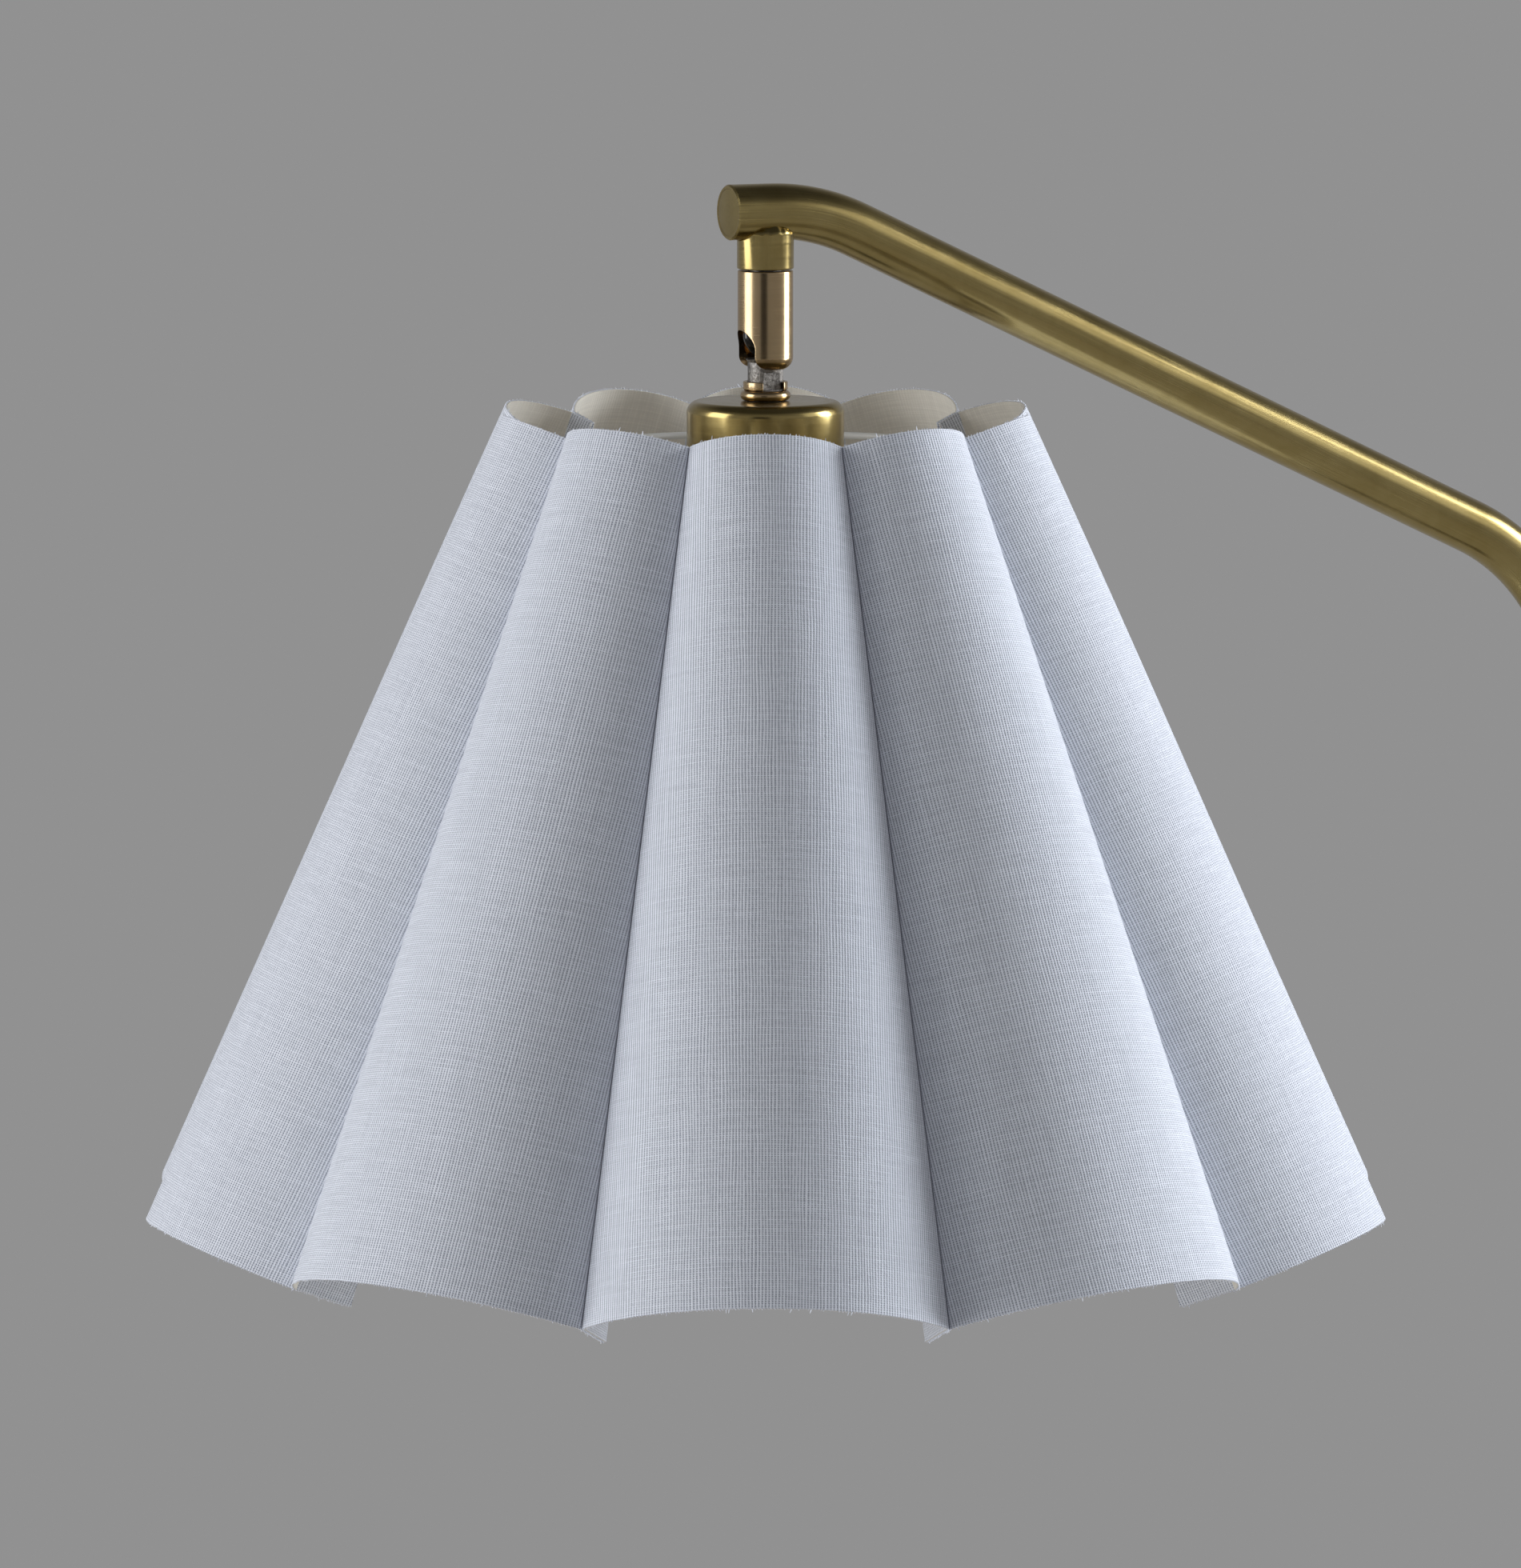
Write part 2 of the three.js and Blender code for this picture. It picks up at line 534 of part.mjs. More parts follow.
// Bends a slab into a panel: its length becomes the panel's outline from fin to fin.
function panelGeometry() {
  const arcSteps = 7;
  const across = 2 * (arcSteps + 1);
  const slab = new THREE.BoxGeometry(1, 1, 1, across, 2, 1);
  const position = slab.attributes.position;
  for (let i = 0; i < position.count; i += 1) {
    const column = Math.round((position.getX(i) + 0.5) * across);
    const share = position.getY(i) + 0.5;
    const inset = position.getZ(i) > 0 ? 0 : PANEL_T;
    const [along, out] = panelOutline(share, inset, arcSteps)[column];
    const chordRadius = seamRadiusAt(share) * Math.cos(seamAngle);
    position.setXYZ(i, chordRadius + out * Math.cos(coneAngle), along,
      drop(SHADE_TOP_DROP) - SHADE_HEIGHT * (1 - share) + out * Math.sin(coneAngle));
  }
  return slab;
}

function addShade() {
  for (let i = 0; i < SHADE_LOBES; i += 1) {
    const name = `shade_panel_${String(i + 1).padStart(2, "0")}`;
    const panel = place(name, panelGeometry(), "linen", [0, 0, 0], head);
    panel.rotation.z = FIRST_LOBE + 2 * seamAngle * i;
  }

  // Carrier: a wire ring glued inside the fins, three spokes and the fitter ring.
  const wireR = 1.2;
  const ringR = 62.4;
  const ringZ = drop(70);
  place("shade_wire_ring", new THREE.TorusGeometry(ringR, wireR, 6, 40), "whitePlastic",
    [0, 0, ringZ], head);
  const fitterR = 21;
  const fitterZ = drop(91.3);
  const halfT = 1;
  place("fitter_ring", ring(RING_BORE_R, fitterR, fitterZ - halfT, fitterZ + halfT),
    "whitePlastic", [0, 0, 0], head);
  const outer = new THREE.Vector3(ringR - wireR - GAP, 0, ringZ);
  const inner = new THREE.Vector3(fitterR + GAP, 0, fitterZ);
  for (let i = 0; i < SPOKES; i += 1) {
    const spoke = new THREE.CylinderGeometry(wireR, wireR, outer.distanceTo(inner) - 1.6, 8)
      .rotateZ(-Math.PI / 2 + Math.atan2(outer.z - inner.z, outer.x - inner.x) + Math.PI)
      .rotateX(Math.PI / 2)
      .translate((outer.x + inner.x) / 2, 0, (outer.z + inner.z) / 2);
    const mesh = place(`shade_spoke_${i + 1}`, spoke, "whitePlastic", [0, 0, 0], head);
    mesh.rotation.z = Math.PI / SPOKES + (2 * Math.PI * i) / SPOKES;
  }
  const [gripR, flangeR] = [20.4, 22];
  const [ringTop, ringFoot] = [drop(92.6), drop(98.4)];
  place("retaining_ring", turned([[RING_BORE_R, ringFoot], [gripR, ringFoot],
    [gripR, ringFoot + 3.8], [flangeR, ringTop - 1.4], [flangeR, ringTop], [RING_BORE_R, ringTop]]),
  "blackPlastic", [0, 0, 0], head);
}

addBase();
addPole();
addArm();
addSwivel();
lamp.add(head);
addStem();
addSocket();
addBulb();
addShade();

export default lamp;
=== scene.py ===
"""Arc floor lamp: satin brass pole and arm, hang-straight swivel and a fluted fabric shade.

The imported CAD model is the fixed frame. This script gives it a fine surface and its materials.
Lengths are millimetres in the modelling code and become metres when a mesh is made. The origin
is the centre of the base's underside, the pole stands on Z and the arm points to -X.
"""
import json
import math
import random

import bmesh
import bpy
import numpy as np
from mathutils import Matrix, Vector

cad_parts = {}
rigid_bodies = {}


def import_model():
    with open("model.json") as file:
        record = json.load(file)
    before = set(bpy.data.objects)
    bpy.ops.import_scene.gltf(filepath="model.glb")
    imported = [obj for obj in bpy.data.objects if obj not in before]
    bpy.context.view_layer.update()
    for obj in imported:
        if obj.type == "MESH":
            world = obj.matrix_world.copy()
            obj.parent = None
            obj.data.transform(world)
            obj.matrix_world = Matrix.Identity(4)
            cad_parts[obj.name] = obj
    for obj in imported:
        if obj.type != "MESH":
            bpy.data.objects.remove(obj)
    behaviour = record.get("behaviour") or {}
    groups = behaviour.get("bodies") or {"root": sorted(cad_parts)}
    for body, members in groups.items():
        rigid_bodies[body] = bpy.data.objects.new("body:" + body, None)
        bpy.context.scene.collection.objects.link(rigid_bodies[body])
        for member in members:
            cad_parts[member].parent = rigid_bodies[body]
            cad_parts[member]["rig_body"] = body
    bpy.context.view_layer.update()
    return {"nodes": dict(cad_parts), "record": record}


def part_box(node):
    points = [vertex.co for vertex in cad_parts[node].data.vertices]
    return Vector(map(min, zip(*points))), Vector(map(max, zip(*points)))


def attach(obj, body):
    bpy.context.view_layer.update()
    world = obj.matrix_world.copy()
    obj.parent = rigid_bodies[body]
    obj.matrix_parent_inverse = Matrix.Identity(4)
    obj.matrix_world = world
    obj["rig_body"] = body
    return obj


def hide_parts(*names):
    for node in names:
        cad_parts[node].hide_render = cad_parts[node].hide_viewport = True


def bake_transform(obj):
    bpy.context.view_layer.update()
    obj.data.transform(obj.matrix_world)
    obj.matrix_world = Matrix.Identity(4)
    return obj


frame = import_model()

MM = 0.001


# ---- places, from the frame ----
def corners(node):
    """Lowest and highest corner of a CAD node, in millimetres."""
    low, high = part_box(node)
    return low / MM, high / MM


def centre(node):
    low, high = corners(node)
    return (low + high) / 2


TUBE_R = 8
TUBE_BORE_R = 6.8
BEND_R = 65
ARM_SLOPE = math.radians(25)
ARM_Z = corners("arm_tube")[1].z - TUBE_R
ARM_END = corners("arm_tube")[0].x
AXIS_X = centre("socket_cap").x
SHADE_AXIS = (AXIS_X, 0)
POLE_AXIS = (0, 0)

# Levels of the hanging parts, as drops below the arm's centre line.
BOSS_FOOT = 16.5
BARREL_TOP = 16.9
BARREL_CEILING = 25.3
PIVOT_Z = ARM_Z - 39.4
FLATS_MIDDLE = 48.6
NUT_TOP, NUT_FOOT = 48.8, 51.2
BEAD_TOP, BEAD_FOOT = 51.35, 54.3
CAP_TOP, CAP_FOOT = 54.4, 76
SOCKET_TOP, SOCKET_SHELF, SOCKET_FOOT = 59.4, 90, 118
STEM_FOOT = 66
SPINDLE = 82
CAVITY_TOP = 86  # the hollow in the socket that takes the bulb's base
SHELL_TOP, SHELL_FOOT = 87, 116
BULB_TIP, BULB_BASE_FOOT = 88.9, 113
RING_TOP, RING_RIM, RING_FOOT = 92.6, 94, 98.4
HOUSING_TOP, HOUSING_FOOT = 113.3, 144
GLOBE_TOP, GLOBE_MIDDLE = 144.3, 162

NIPPLE_R = 5.3  # bores that a threaded nipple fills
STEM_HOLE_R = 5.2  # bores that the swivel's stem fills
RING_BORE_R = 16.8  # bores of the rings that sit on the socket


def hung(*outline):
    """Outline of (radius, drop below the arm's centre line, fillet) as (radius, height, fillet)."""
    return [(radius, ARM_Z - drop, fillet) for radius, drop, fillet in outline]


# ---- shader nodes ----
class Nodes:
    """Builds a node tree by short calls that return output sockets."""

    def __init__(self, tree):
        self.tree = tree

    def join(self, socket, value):
        if isinstance(value, bpy.types.NodeSocket):
            self.tree.links.new(value, socket)
        else:
            socket.default_value = value

    def node(self, kind, inputs, output=0, **settings):
        made = self.tree.nodes.new(kind)
        for key, value in settings.items():
            setattr(made, key, value)
        for key, value in inputs.items():
            self.join(made.inputs[key], value)
        return made.outputs[output]

    def math(self, operation, *values):
        return self.node("ShaderNodeMath", dict(enumerate(values)), operation=operation)

    def spread(self, value, low, high, to_low=0.0, to_high=1.0):
        return self.node("ShaderNodeMapRange", {"Value": value, "From Min": low, "From Max": high,
                                                "To Min": to_low, "To Max": to_high})


class Look(Nodes):
    """Node material around a principled shader."""

    def __init__(self, name, colour, roughness, metallic=0, **constants):
        self.material = bpy.data.materials.new(name)
        self.material.use_nodes = True
        super().__init__(self.material.node_tree)
        self.shader = self.tree.nodes["Principled BSDF"]
        self.put("Base Color", (*colour, 1))
        self.put("Roughness", roughness)
        self.put("Metallic", metallic)
        for socket, value in constants.items():
            self.put(socket.replace("_", " "), value)
        self.material.diffuse_color = (*colour, 1)

    def put(self, socket, value):
        self.join(self.shader.inputs[socket], value)

    def place(self, source, size=(1, 1, 1)):
        """Coordinates in millimetres over size. "UV" runs with the surface, "Object" with the
        frame."""
        coordinates = self.node("ShaderNodeTexCoord", {}, output=source)
        unit = 1 if source == "UV" else MM
        per_size = [1 / unit / s for s in size]
        return self.node("ShaderNodeVectorMath", {0: coordinates, 1: per_size},
                         operation="MULTIPLY")

    def noise(self, source, size, detail=2, roughness=0.5):
        """Noise whose grains measure size, in millimetres, along each coordinate."""
        size = size if isinstance(size, tuple) else (size, size, size)
        return self.node("ShaderNodeTexNoise", {"Vector": self.place(source, size), "Scale": 1,
                                                "Detail": detail, "Roughness": roughness})

    def mix(self, share, first, second):
        inputs = {0: share, 6: first if isinstance(first, bpy.types.NodeSocket) else (*first, 1),
                  7: second if isinstance(second, bpy.types.NodeSocket) else (*second, 1)}
        return self.node("ShaderNodeMix", inputs, output=2, data_type="RGBA")

    def bump(self, height, depth, over=None):
        """Normal for a height of 0 to 1 that stands for depth millimetres."""
        inputs = {"Height": height, "Distance": depth * MM}
        return self.node("ShaderNodeBump", inputs if over is None else {**inputs, "Normal": over})


# ---- camera and light ----
def aim(obj, place, target):
    obj.location = place
    obj.rotation_euler = (Vector(target) - Vector(place)).to_track_quat("-Z", "Y").to_euler()


def linked(obj):
    bpy.context.scene.collection.objects.link(obj)
    return obj


VIEW_AZIMUTH = math.radians(-25.25)
VIEW_ELEVATION = math.radians(7.55)
VIEW_DISTANCE = 2.724
VIEW_DROP = 0.1657  # arm's centre line down to the point looked at
VIEW_ASIDE = -0.0014
LENS = 216.3
SENSOR = 36

to_right = Vector((math.cos(VIEW_AZIMUTH), math.sin(VIEW_AZIMUTH), 0))
to_camera = Vector((math.sin(VIEW_AZIMUTH), -math.cos(VIEW_AZIMUTH), 0))
look_at = Vector((AXIS_X * MM, 0, ARM_Z * MM - VIEW_DROP)) + to_right * VIEW_ASIDE


def add_camera():
    data = bpy.data.cameras.new("camera")
    data.lens = LENS
    data.sensor_width = SENSOR
    data.clip_end = 100
    camera = linked(bpy.data.objects.new("camera", data))
    direction = to_camera * math.cos(VIEW_ELEVATION) + Vector((0, 0, math.sin(VIEW_ELEVATION)))
    aim(camera, look_at + direction * VIEW_DISTANCE, look_at)
    bpy.context.scene.camera = camera


def add_softbox(name, turn, elevation, distance, size, power, colour):
    """Area light aimed at the shade. turn and elevation are degrees; turn goes from the camera's
    side of the shade to the right."""
    data = bpy.data.lights.new(name, "AREA")
    data.shape = "RECTANGLE"
    data.size, data.size_y = size
    data.energy = power
    data.color = colour
    light = linked(bpy.data.objects.new(name, data))
    turn, elevation = math.radians(turn), math.radians(elevation)
    level = to_camera * math.cos(turn) + to_right * math.sin(turn)
    direction = level * math.cos(elevation) + Vector((0, 0, math.sin(elevation)))
    aim(light, look_at + direction * distance, look_at)
    light.visible_camera = False
    return light


def add_lights():
    add_softbox("left_softbox", turn=-76, elevation=6, distance=2.8, size=(1.7, 3), power=65,
                colour=(0.96, 0.98, 1))
    add_softbox("right_softbox", turn=100, elevation=8, distance=3, size=(1.1, 2.4), power=108,
                colour=(0.91, 0.95, 1))
    add_softbox("right_reflector", turn=74, elevation=22, distance=3.2, size=(1.3, 1.6), power=4.5,
                colour=(0.95, 0.98, 1))
    front = add_softbox("front_fill", turn=5, elevation=8, distance=3.5, size=(3, 2), power=4,
                        colour=(0.98, 0.99, 1))
    front.visible_glossy = False


def light_floor(floor):
    """The softboxes stand close to the floor and would mark it, so it has a light of its own."""
    for light in [piece for piece in bpy.context.scene.objects if piece.type == "LIGHT"]:
        link_light(light, floor, "EXCLUDE")
    overhead = add_softbox("floor_light", turn=0, elevation=90, distance=4, size=(9, 9), power=170,
                           colour=(1, 1, 1))
    link_light(overhead, floor, "INCLUDE")


def link_light(light, floor, state):
    """EXCLUDE keeps a light off the floor, INCLUDE keeps it off everything else."""
    receivers = bpy.data.collections.new(f"{light.name}_receivers")
    receivers.objects.link(floor)
    receivers.collection_objects[0].light_linking.link_state = state
    light.light_linking.receiver_collection = receivers


WALL_SEEN = (0.284, 0.283, 0.284, 1)
WALL_TINT = (0.98, 0.99, 1.03)
WALL_LEVEL, CEILING_LEVEL = 0.31, 0.06  # what reflections see
STRIP_TO_LEFT = 6  # degrees from the camera to the dark strip's middle
STRIP_HALF_WIDTH, STRIP_EDGE = 11, 5  # degrees
STRIP_LEVEL = 0.12  # of the wall's level


def add_world():
    """Grey studio: plain where the camera sees it. In reflections it has a dark ceiling and a
    dark strip where the camera stands."""
    world = bpy.data.worlds.new("studio")
    world.use_nodes = True
    studio = Nodes(world.node_tree)
    seen = studio.node("ShaderNodeBackground", {"Color": WALL_SEEN})
    direction = studio.node("ShaderNodeTexCoord", {}, output="Generated")
    ahead, aside = (studio.node("ShaderNodeVectorMath", {0: direction, 1: tuple(axis)},
                                output="Value", operation="DOT_PRODUCT")
                    for axis in (to_camera, to_right))
    turn = studio.math("DEGREES", studio.math("ARCTAN2", aside, ahead))
    rise = studio.node("ShaderNodeSeparateXYZ", {0: direction}, output="Z")
    wall = studio.spread(rise, 0.35, 0.8, WALL_LEVEL, CEILING_LEVEL)
    from_middle = studio.math("ABSOLUTE", studio.math("ADD", turn, STRIP_TO_LEFT))
    in_strip = studio.spread(from_middle, STRIP_HALF_WIDTH, STRIP_HALF_WIDTH + STRIP_EDGE, 1, 0)
    below_top = studio.spread(rise, 0.2, 0.45, 1, 0)
    strip = studio.math("MULTIPLY", in_strip, below_top)
    level = studio.math("MULTIPLY", wall, studio.spread(strip, 0, 1, 1, STRIP_LEVEL))
    grey = studio.node("ShaderNodeVectorMath", {0: WALL_TINT, 1: level}, operation="MULTIPLY")
    around = studio.node("ShaderNodeBackground", {"Color": grey})
    sight = studio.node("ShaderNodeLightPath", {}, output="Is Camera Ray")
    mix = studio.node("ShaderNodeMixShader", {0: sight, 1: around, 2: seen})
    studio.join(studio.tree.nodes["World Output"].inputs["Surface"], mix)
    bpy.context.scene.world = world
    bpy.context.scene.view_settings.view_transform = "Standard"


# ---- materials ----
def brass(name, colour, dark, roughness, brush, waviness=0.0):
    """Lacquered brass, brushed along one direction: brush is the streaks' size in U and V."""
    look = Look(name, colour, roughness, metallic=1)
    streaks = look.noise("UV", (*brush, 1), detail=3)
    cloud = look.noise("Object", 22, detail=3)
    tarnish = look.noise("Object", 5, detail=4, roughness=0.6)
    shade = look.spread(look.math("ADD", cloud, tarnish), 0.4, 1.4)
    worn = look.node("ShaderNodeVectorMath", {0: look.mix(shade, dark, colour),
                                              1: look.spread(streaks, 0.2, 0.8, 0.84, 1.1)},
                     operation="MULTIPLY")
    look.put("Base Color", worn)
    gloss = look.math("ADD", look.spread(streaks, 0.25, 0.75, -0.06, 0.06),
                      look.spread(cloud, 0.3, 0.7, roughness - 0.03, roughness + 0.03))
    look.put("Roughness", gloss)
    waves = look.bump(look.noise("Object", 8, detail=1), waviness) if waviness else None
    look.put("Normal", look.bump(streaks, 0.005, over=waves))
    return look.material


def cast_metal(name, colour, dark, roughness, grain, depth, metallic=1):
    """Sand-cast or rough metal with pits."""
    look = Look(name, colour, roughness, metallic=metallic)
    pits = look.noise("Object", grain, detail=4, roughness=0.65)
    patches = look.noise("Object", grain * 9, detail=2)
    look.put("Base Color", look.mix(look.spread(pits, 0.35, 0.6), dark, colour))
    look.put("Roughness", look.spread(patches, 0.3, 0.7, roughness - 0.1, roughness + 0.12))
    look.put("Normal", look.bump(pits, depth))
    return look.material


def moulded(name, colour, roughness, grain=0.5, depth=0.012, **constants):
    """Moulded plastic or paint: a fine grain, slightly uneven gloss."""
    look = Look(name, colour, roughness, **constants)
    skin = look.noise("Object", grain, detail=2)
    cloud = look.noise("Object", 16, detail=2)
    shade = tuple(channel * 0.9 for channel in colour)
    look.put("Base Color", look.mix(look.spread(cloud, 0.3, 0.7), shade, colour))
    look.put("Roughness", look.spread(cloud, 0.3, 0.7, roughness - 0.05, roughness + 0.06))
    look.put("Normal", look.bump(skin, depth))
    return look.material


def felt(name, colour):
    look = Look(name, colour, 0.95, Sheen_Weight=0.4, Sheen_Roughness=0.5)
    fibres = look.noise("Object", 0.5, detail=5, roughness=0.7)
    look.put("Base Color", look.mix(look.spread(fibres, 0.35, 0.65), (0.01, 0.01, 0.011), colour))
    look.put("Normal", look.bump(fibres, 0.3))
    return look.material


WARP_PITCH = 0.9  # between the threads that run along a panel
WEFT_PITCH = 0.65
WARP_WANDER, WEFT_WANDER = 0.8, 0.6  # sideways drift of the threads, in pitches
WARP_SPACE, WEFT_SPACE = 0.45, 0.38  # share of a thread's wave that is the space beside it
WARP_LIFT, WEFT_LIFT = 0.85, 0.52  # mean heights, as shares of the weave's depth; lower threads also get more painted shade
CRIMP = 0.15  # rise and dip of a thread where it crosses others


def cloth(name, colour, painted_hole_shade, depth, contrast):
    """Plain weave. U runs across the panel from its mid-line and V along it, in millimetres."""
    look = Look(name, colour, 0.85, Sheen_Weight=0.15, Sheen_Roughness=0.4)
    wander = look.noise("UV", (9, 40, 1), detail=2)
    across, along = (look.node("ShaderNodeSeparateXYZ", {0: look.place("UV")}, output=i)
                     for i in (0, 1))
    warp_count = look.math("ADD", look.math("DIVIDE", across, WARP_PITCH),
                           look.spread(wander, 0, 1, -WARP_WANDER, WARP_WANDER))
    weft_count = look.math("ADD", look.math("DIVIDE", along, WEFT_PITCH),
                           look.spread(wander, 0, 1, -WEFT_WANDER, WEFT_WANDER))
    waves = [look.math("SINE", look.math("MULTIPLY", count, math.pi))
             for count in (warp_count, weft_count)]
    rounds = [look.math("POWER", look.spread(look.math("ABSOLUTE", wave), space, 0.95), 0.6)
              for wave, space in zip(waves, (WARP_SPACE, WEFT_SPACE))]
    signs = [look.math("SIGN", wave) for wave in waves]
    warp_lift = look.math("MULTIPLY_ADD", look.math("MULTIPLY", waves[1], signs[0]),
                          CRIMP, WARP_LIFT)
    weft_lift = look.math("MULTIPLY_ADD", look.math("MULTIPLY", waves[0], signs[1]),
                          -CRIMP, WEFT_LIFT)
    slubs = look.noise("UV", (WARP_PITCH, 26, 1), detail=2, roughness=0.6)
    picks = look.noise("UV", (18, WEFT_PITCH, 1), detail=1)
    warp = look.math("MULTIPLY", look.math("MULTIPLY", rounds[0], warp_lift),
                     look.spread(slubs, 0.25, 0.75, 0.78, 1.15))
    weft = look.math("MULTIPLY", look.math("MULTIPLY", rounds[1], weft_lift),
                     look.spread(picks, 0.25, 0.75, 0.85, 1.1))
    fibres = look.noise("UV", (WARP_PITCH * 0.8, WEFT_PITCH * 2, 1), detail=3)
    height = look.math("MULTIPLY", look.math("MAXIMUM", warp, weft),
                       look.spread(fibres, 0.25, 0.75, 0.7, 1.15))
    threads = look.spread(look.math("ADD", slubs, picks), 0.7, 1.3, 0.87, 1)
    lit = look.node("ShaderNodeVectorMath", {0: colour, 1: threads}, operation="MULTIPLY")
    # Painted shade: the holes between threads and the lower threads are coloured towards
    # painted_hole_shade, the lower the darker.
    look.put("Base Color", look.mix(look.spread(height, 0.05, contrast), painted_hole_shade, lit))
    look.put("Normal", look.bump(height, depth))
    return look.material


BRASS = (0.43, 0.335, 0.14)
BRASS_DARK = (0.33, 0.245, 0.085)
SWIVEL_BRASS = (0.52, 0.385, 0.225)
SWIVEL_BRASS_DARK = (0.44, 0.31, 0.16)
ALONG = (0.25, 30)  # streaks along V, for drawn tube
AROUND = (30, 0.2)  # streaks along U, for turned pieces

LOOKS = {
    "brass": brass("satin_brass", BRASS, BRASS_DARK, 0.23, ALONG),
    "brass_turned": brass("turned_brass", BRASS, BRASS_DARK, 0.21, AROUND, 0.04),
    "swivel_brass": brass("brushed_swivel_brass", SWIVEL_BRASS, SWIVEL_BRASS_DARK, 0.22, AROUND),
    "steel": cast_metal("zinc_steel", (0.33, 0.31, 0.29), (0.13, 0.12, 0.11), 0.42, 0.9, 0.25),
    "iron": cast_metal("iron_casting", (0.07, 0.07, 0.075), (0.03, 0.03, 0.03), 0.7, 1.4, 0.3,
                       metallic=0.4),
    "felt": felt("black_felt", (0.03, 0.03, 0.032)),
    "black_plastic": moulded("black_plastic", (0.018, 0.018, 0.019), 0.42),
    "lead_black": moulded("lead_insulation", (0.006, 0.006, 0.006), 0.14, grain=3, depth=0.05),
    "white_wire": moulded("white_paint", (0.78, 0.77, 0.73), 0.35, grain=1, depth=0.02),
    "bulb_plastic": moulded("bulb_housing_plastic", (0.8, 0.79, 0.75), 0.34),
    "bulb_diffuser": moulded("bulb_diffuser_plastic", (0.88, 0.87, 0.83), 0.3,
                             Subsurface_Weight=0.25, Subsurface_Scale=0.004),
    # The second colour of each cloth is the painted shade in the weave's holes and on its lower
    # threads.
    "linen": cloth("shade_linen", (0.9, 0.925, 1), (0.2, 0.22, 0.28), 0.1, 0.58),
    "liner": cloth("shade_liner", (0.95, 0.9, 0.8), (0.84, 0.79, 0.69), 0.04, 0.6),
}
SLOT_OF = {part["node"]: part["material_slot"] for part in frame["record"]["subparts"]}


# ---- meshes ----
def mesh_object(name, points, faces, uvs, looks, face_looks=None, sharp=35):
    """Object from points in millimetres, faces, and one (u, v) in millimetres per face corner."""
    mesh = bpy.data.meshes.new(name)
    mesh.from_pydata([tuple(c * MM for c in point) for point in points], [], faces)
    layer = mesh.uv_layers.new(name="surface")
    layer.data.foreach_set("uv", np.array(uvs, np.float32).ravel())
    for look in looks:
        mesh.materials.append(LOOKS[look])
    if face_looks is not None:
        mesh.polygons.foreach_set("material_index", face_looks)
    mesh.polygons.foreach_set("use_smooth", [True] * len(mesh.polygons))
    mesh.update()
    mesh.set_sharp_from_angle(angle=math.radians(sharp))
    return linked(bpy.data.objects.new(name, mesh))


def finished(node, points, faces, uvs, looks=None, face_looks=None):
    """Fine piece that stands for a CAD node and rides on the same body."""
    slot = SLOT_OF[node]
    piece = mesh_object(f"{node}_finished", points, faces, uvs, looks or [slot], face_looks)
    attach(piece, frame["nodes"][node]["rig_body"])
    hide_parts(node)
    return piece


def rounded(outline, steps=5):
    """Points of a closed outline whose (x, z, fillet) corners are rounded."""
    points = []
    for i, (x, z, fillet) in enumerate(outline):
        corner = Vector((x, z))
        if fillet == 0:
            points.append(corner)
            continue
        back = (Vector(outline[i - 1][:2]) - corner).normalized()
        on = (Vector(outline[(i + 1) % len(outline)][:2]) - corner).normalized()
        half = back.angle(on) / 2
        hub = corner + (back + on).normalized() * (fillet / math.sin(half))
        start = corner + back * (fillet / math.tan(half)) - hub
        end = corner + on * (fillet / math.tan(half)) - hub
        turn = start.angle_signed(end)
        points += [hub + Matrix.Rotation(-turn * k / steps, 2) @ start for k in range(steps + 1)]
    return points


def ring(bore, outer, foot, top, inner_fillet, outer_fillet):
    """Outline of a plain ring, or of a disc if bore is 0."""
    return [(bore, foot, inner_fillet), (outer, foot, outer_fillet), (outer, top, outer_fillet),
            (bore, top, inner_fillet)]


def arc(hub, radius, start, end, steps=24):
    """Points of an arc about hub, as unrounded corners of an outline. Angles in degrees."""
    angles = [math.radians(start + (end - start) * k / steps) for k in range(steps + 1)]
    return [(hub[0] + radius * math.cos(a), hub[1] + radius * math.sin(a), 0) for a in angles]


def lathe(outline, axis=(0, 0), sides=72, ribs=None):
    """Solid of revolution about an upright axis, from an outline of (radius, height) points.

    ribs is (count, depth, lowest, highest, least_radius): points between the two heights and
    outside that radius swell in that many ribs."""
    rib_count, rib_depth, lowest, highest, least_radius = ribs or (0, 0, 0, 0, math.inf)
    outline = [Vector(point) for point in outline]
    lengths = [0, *np.cumsum([(b - a).length for a, b in zip(outline, outline[1:])])]
    points, rings = [], []
    for radius, height in outline:
        if radius < 1e-6:
            rings.append([len(points)] * (sides + 1))
            points.append((*axis, height))
            continue
        first = len(points)
        rings.append([first + k % sides for k in range(sides + 1)])
        for k in range(sides):
            angle = 2 * math.pi * k / sides
            swell = 0
            if lowest <= height <= highest and radius > least_radius:
                swell = rib_depth * abs(math.sin(rib_count * angle / 2))
            points.append((axis[0] + (radius + swell) * math.cos(angle),
                           axis[1] + (radius + swell) * math.sin(angle), height))
    widest = max(point.x for point in outline)
    faces, uvs = [], []
    for i in range(len(outline)):
        j = (i + 1) % len(outline)
        if outline[i].x < 1e-6 and outline[j].x < 1e-6:
            continue
        for k in range(sides):
            u0, u1 = (2 * math.pi * widest * step / sides for step in (k, k + 1))
            v0, v1 = lengths[i], lengths[i] + (outline[j] - outline[i]).length
            face = [(rings[i][k], (u0, v0)), (rings[i][k + 1], (u1, v0)),
                    (rings[j][k + 1], (u1, v1)), (rings[j][k], (u0, v1))]
            if outline[i].x < 1e-6:
                face.pop(0)
            elif outline[j].x < 1e-6:
                face.pop(2)
            faces.append([index for index, _ in face])
            uvs += [uv for _, uv in face]
    return points, faces, uvs


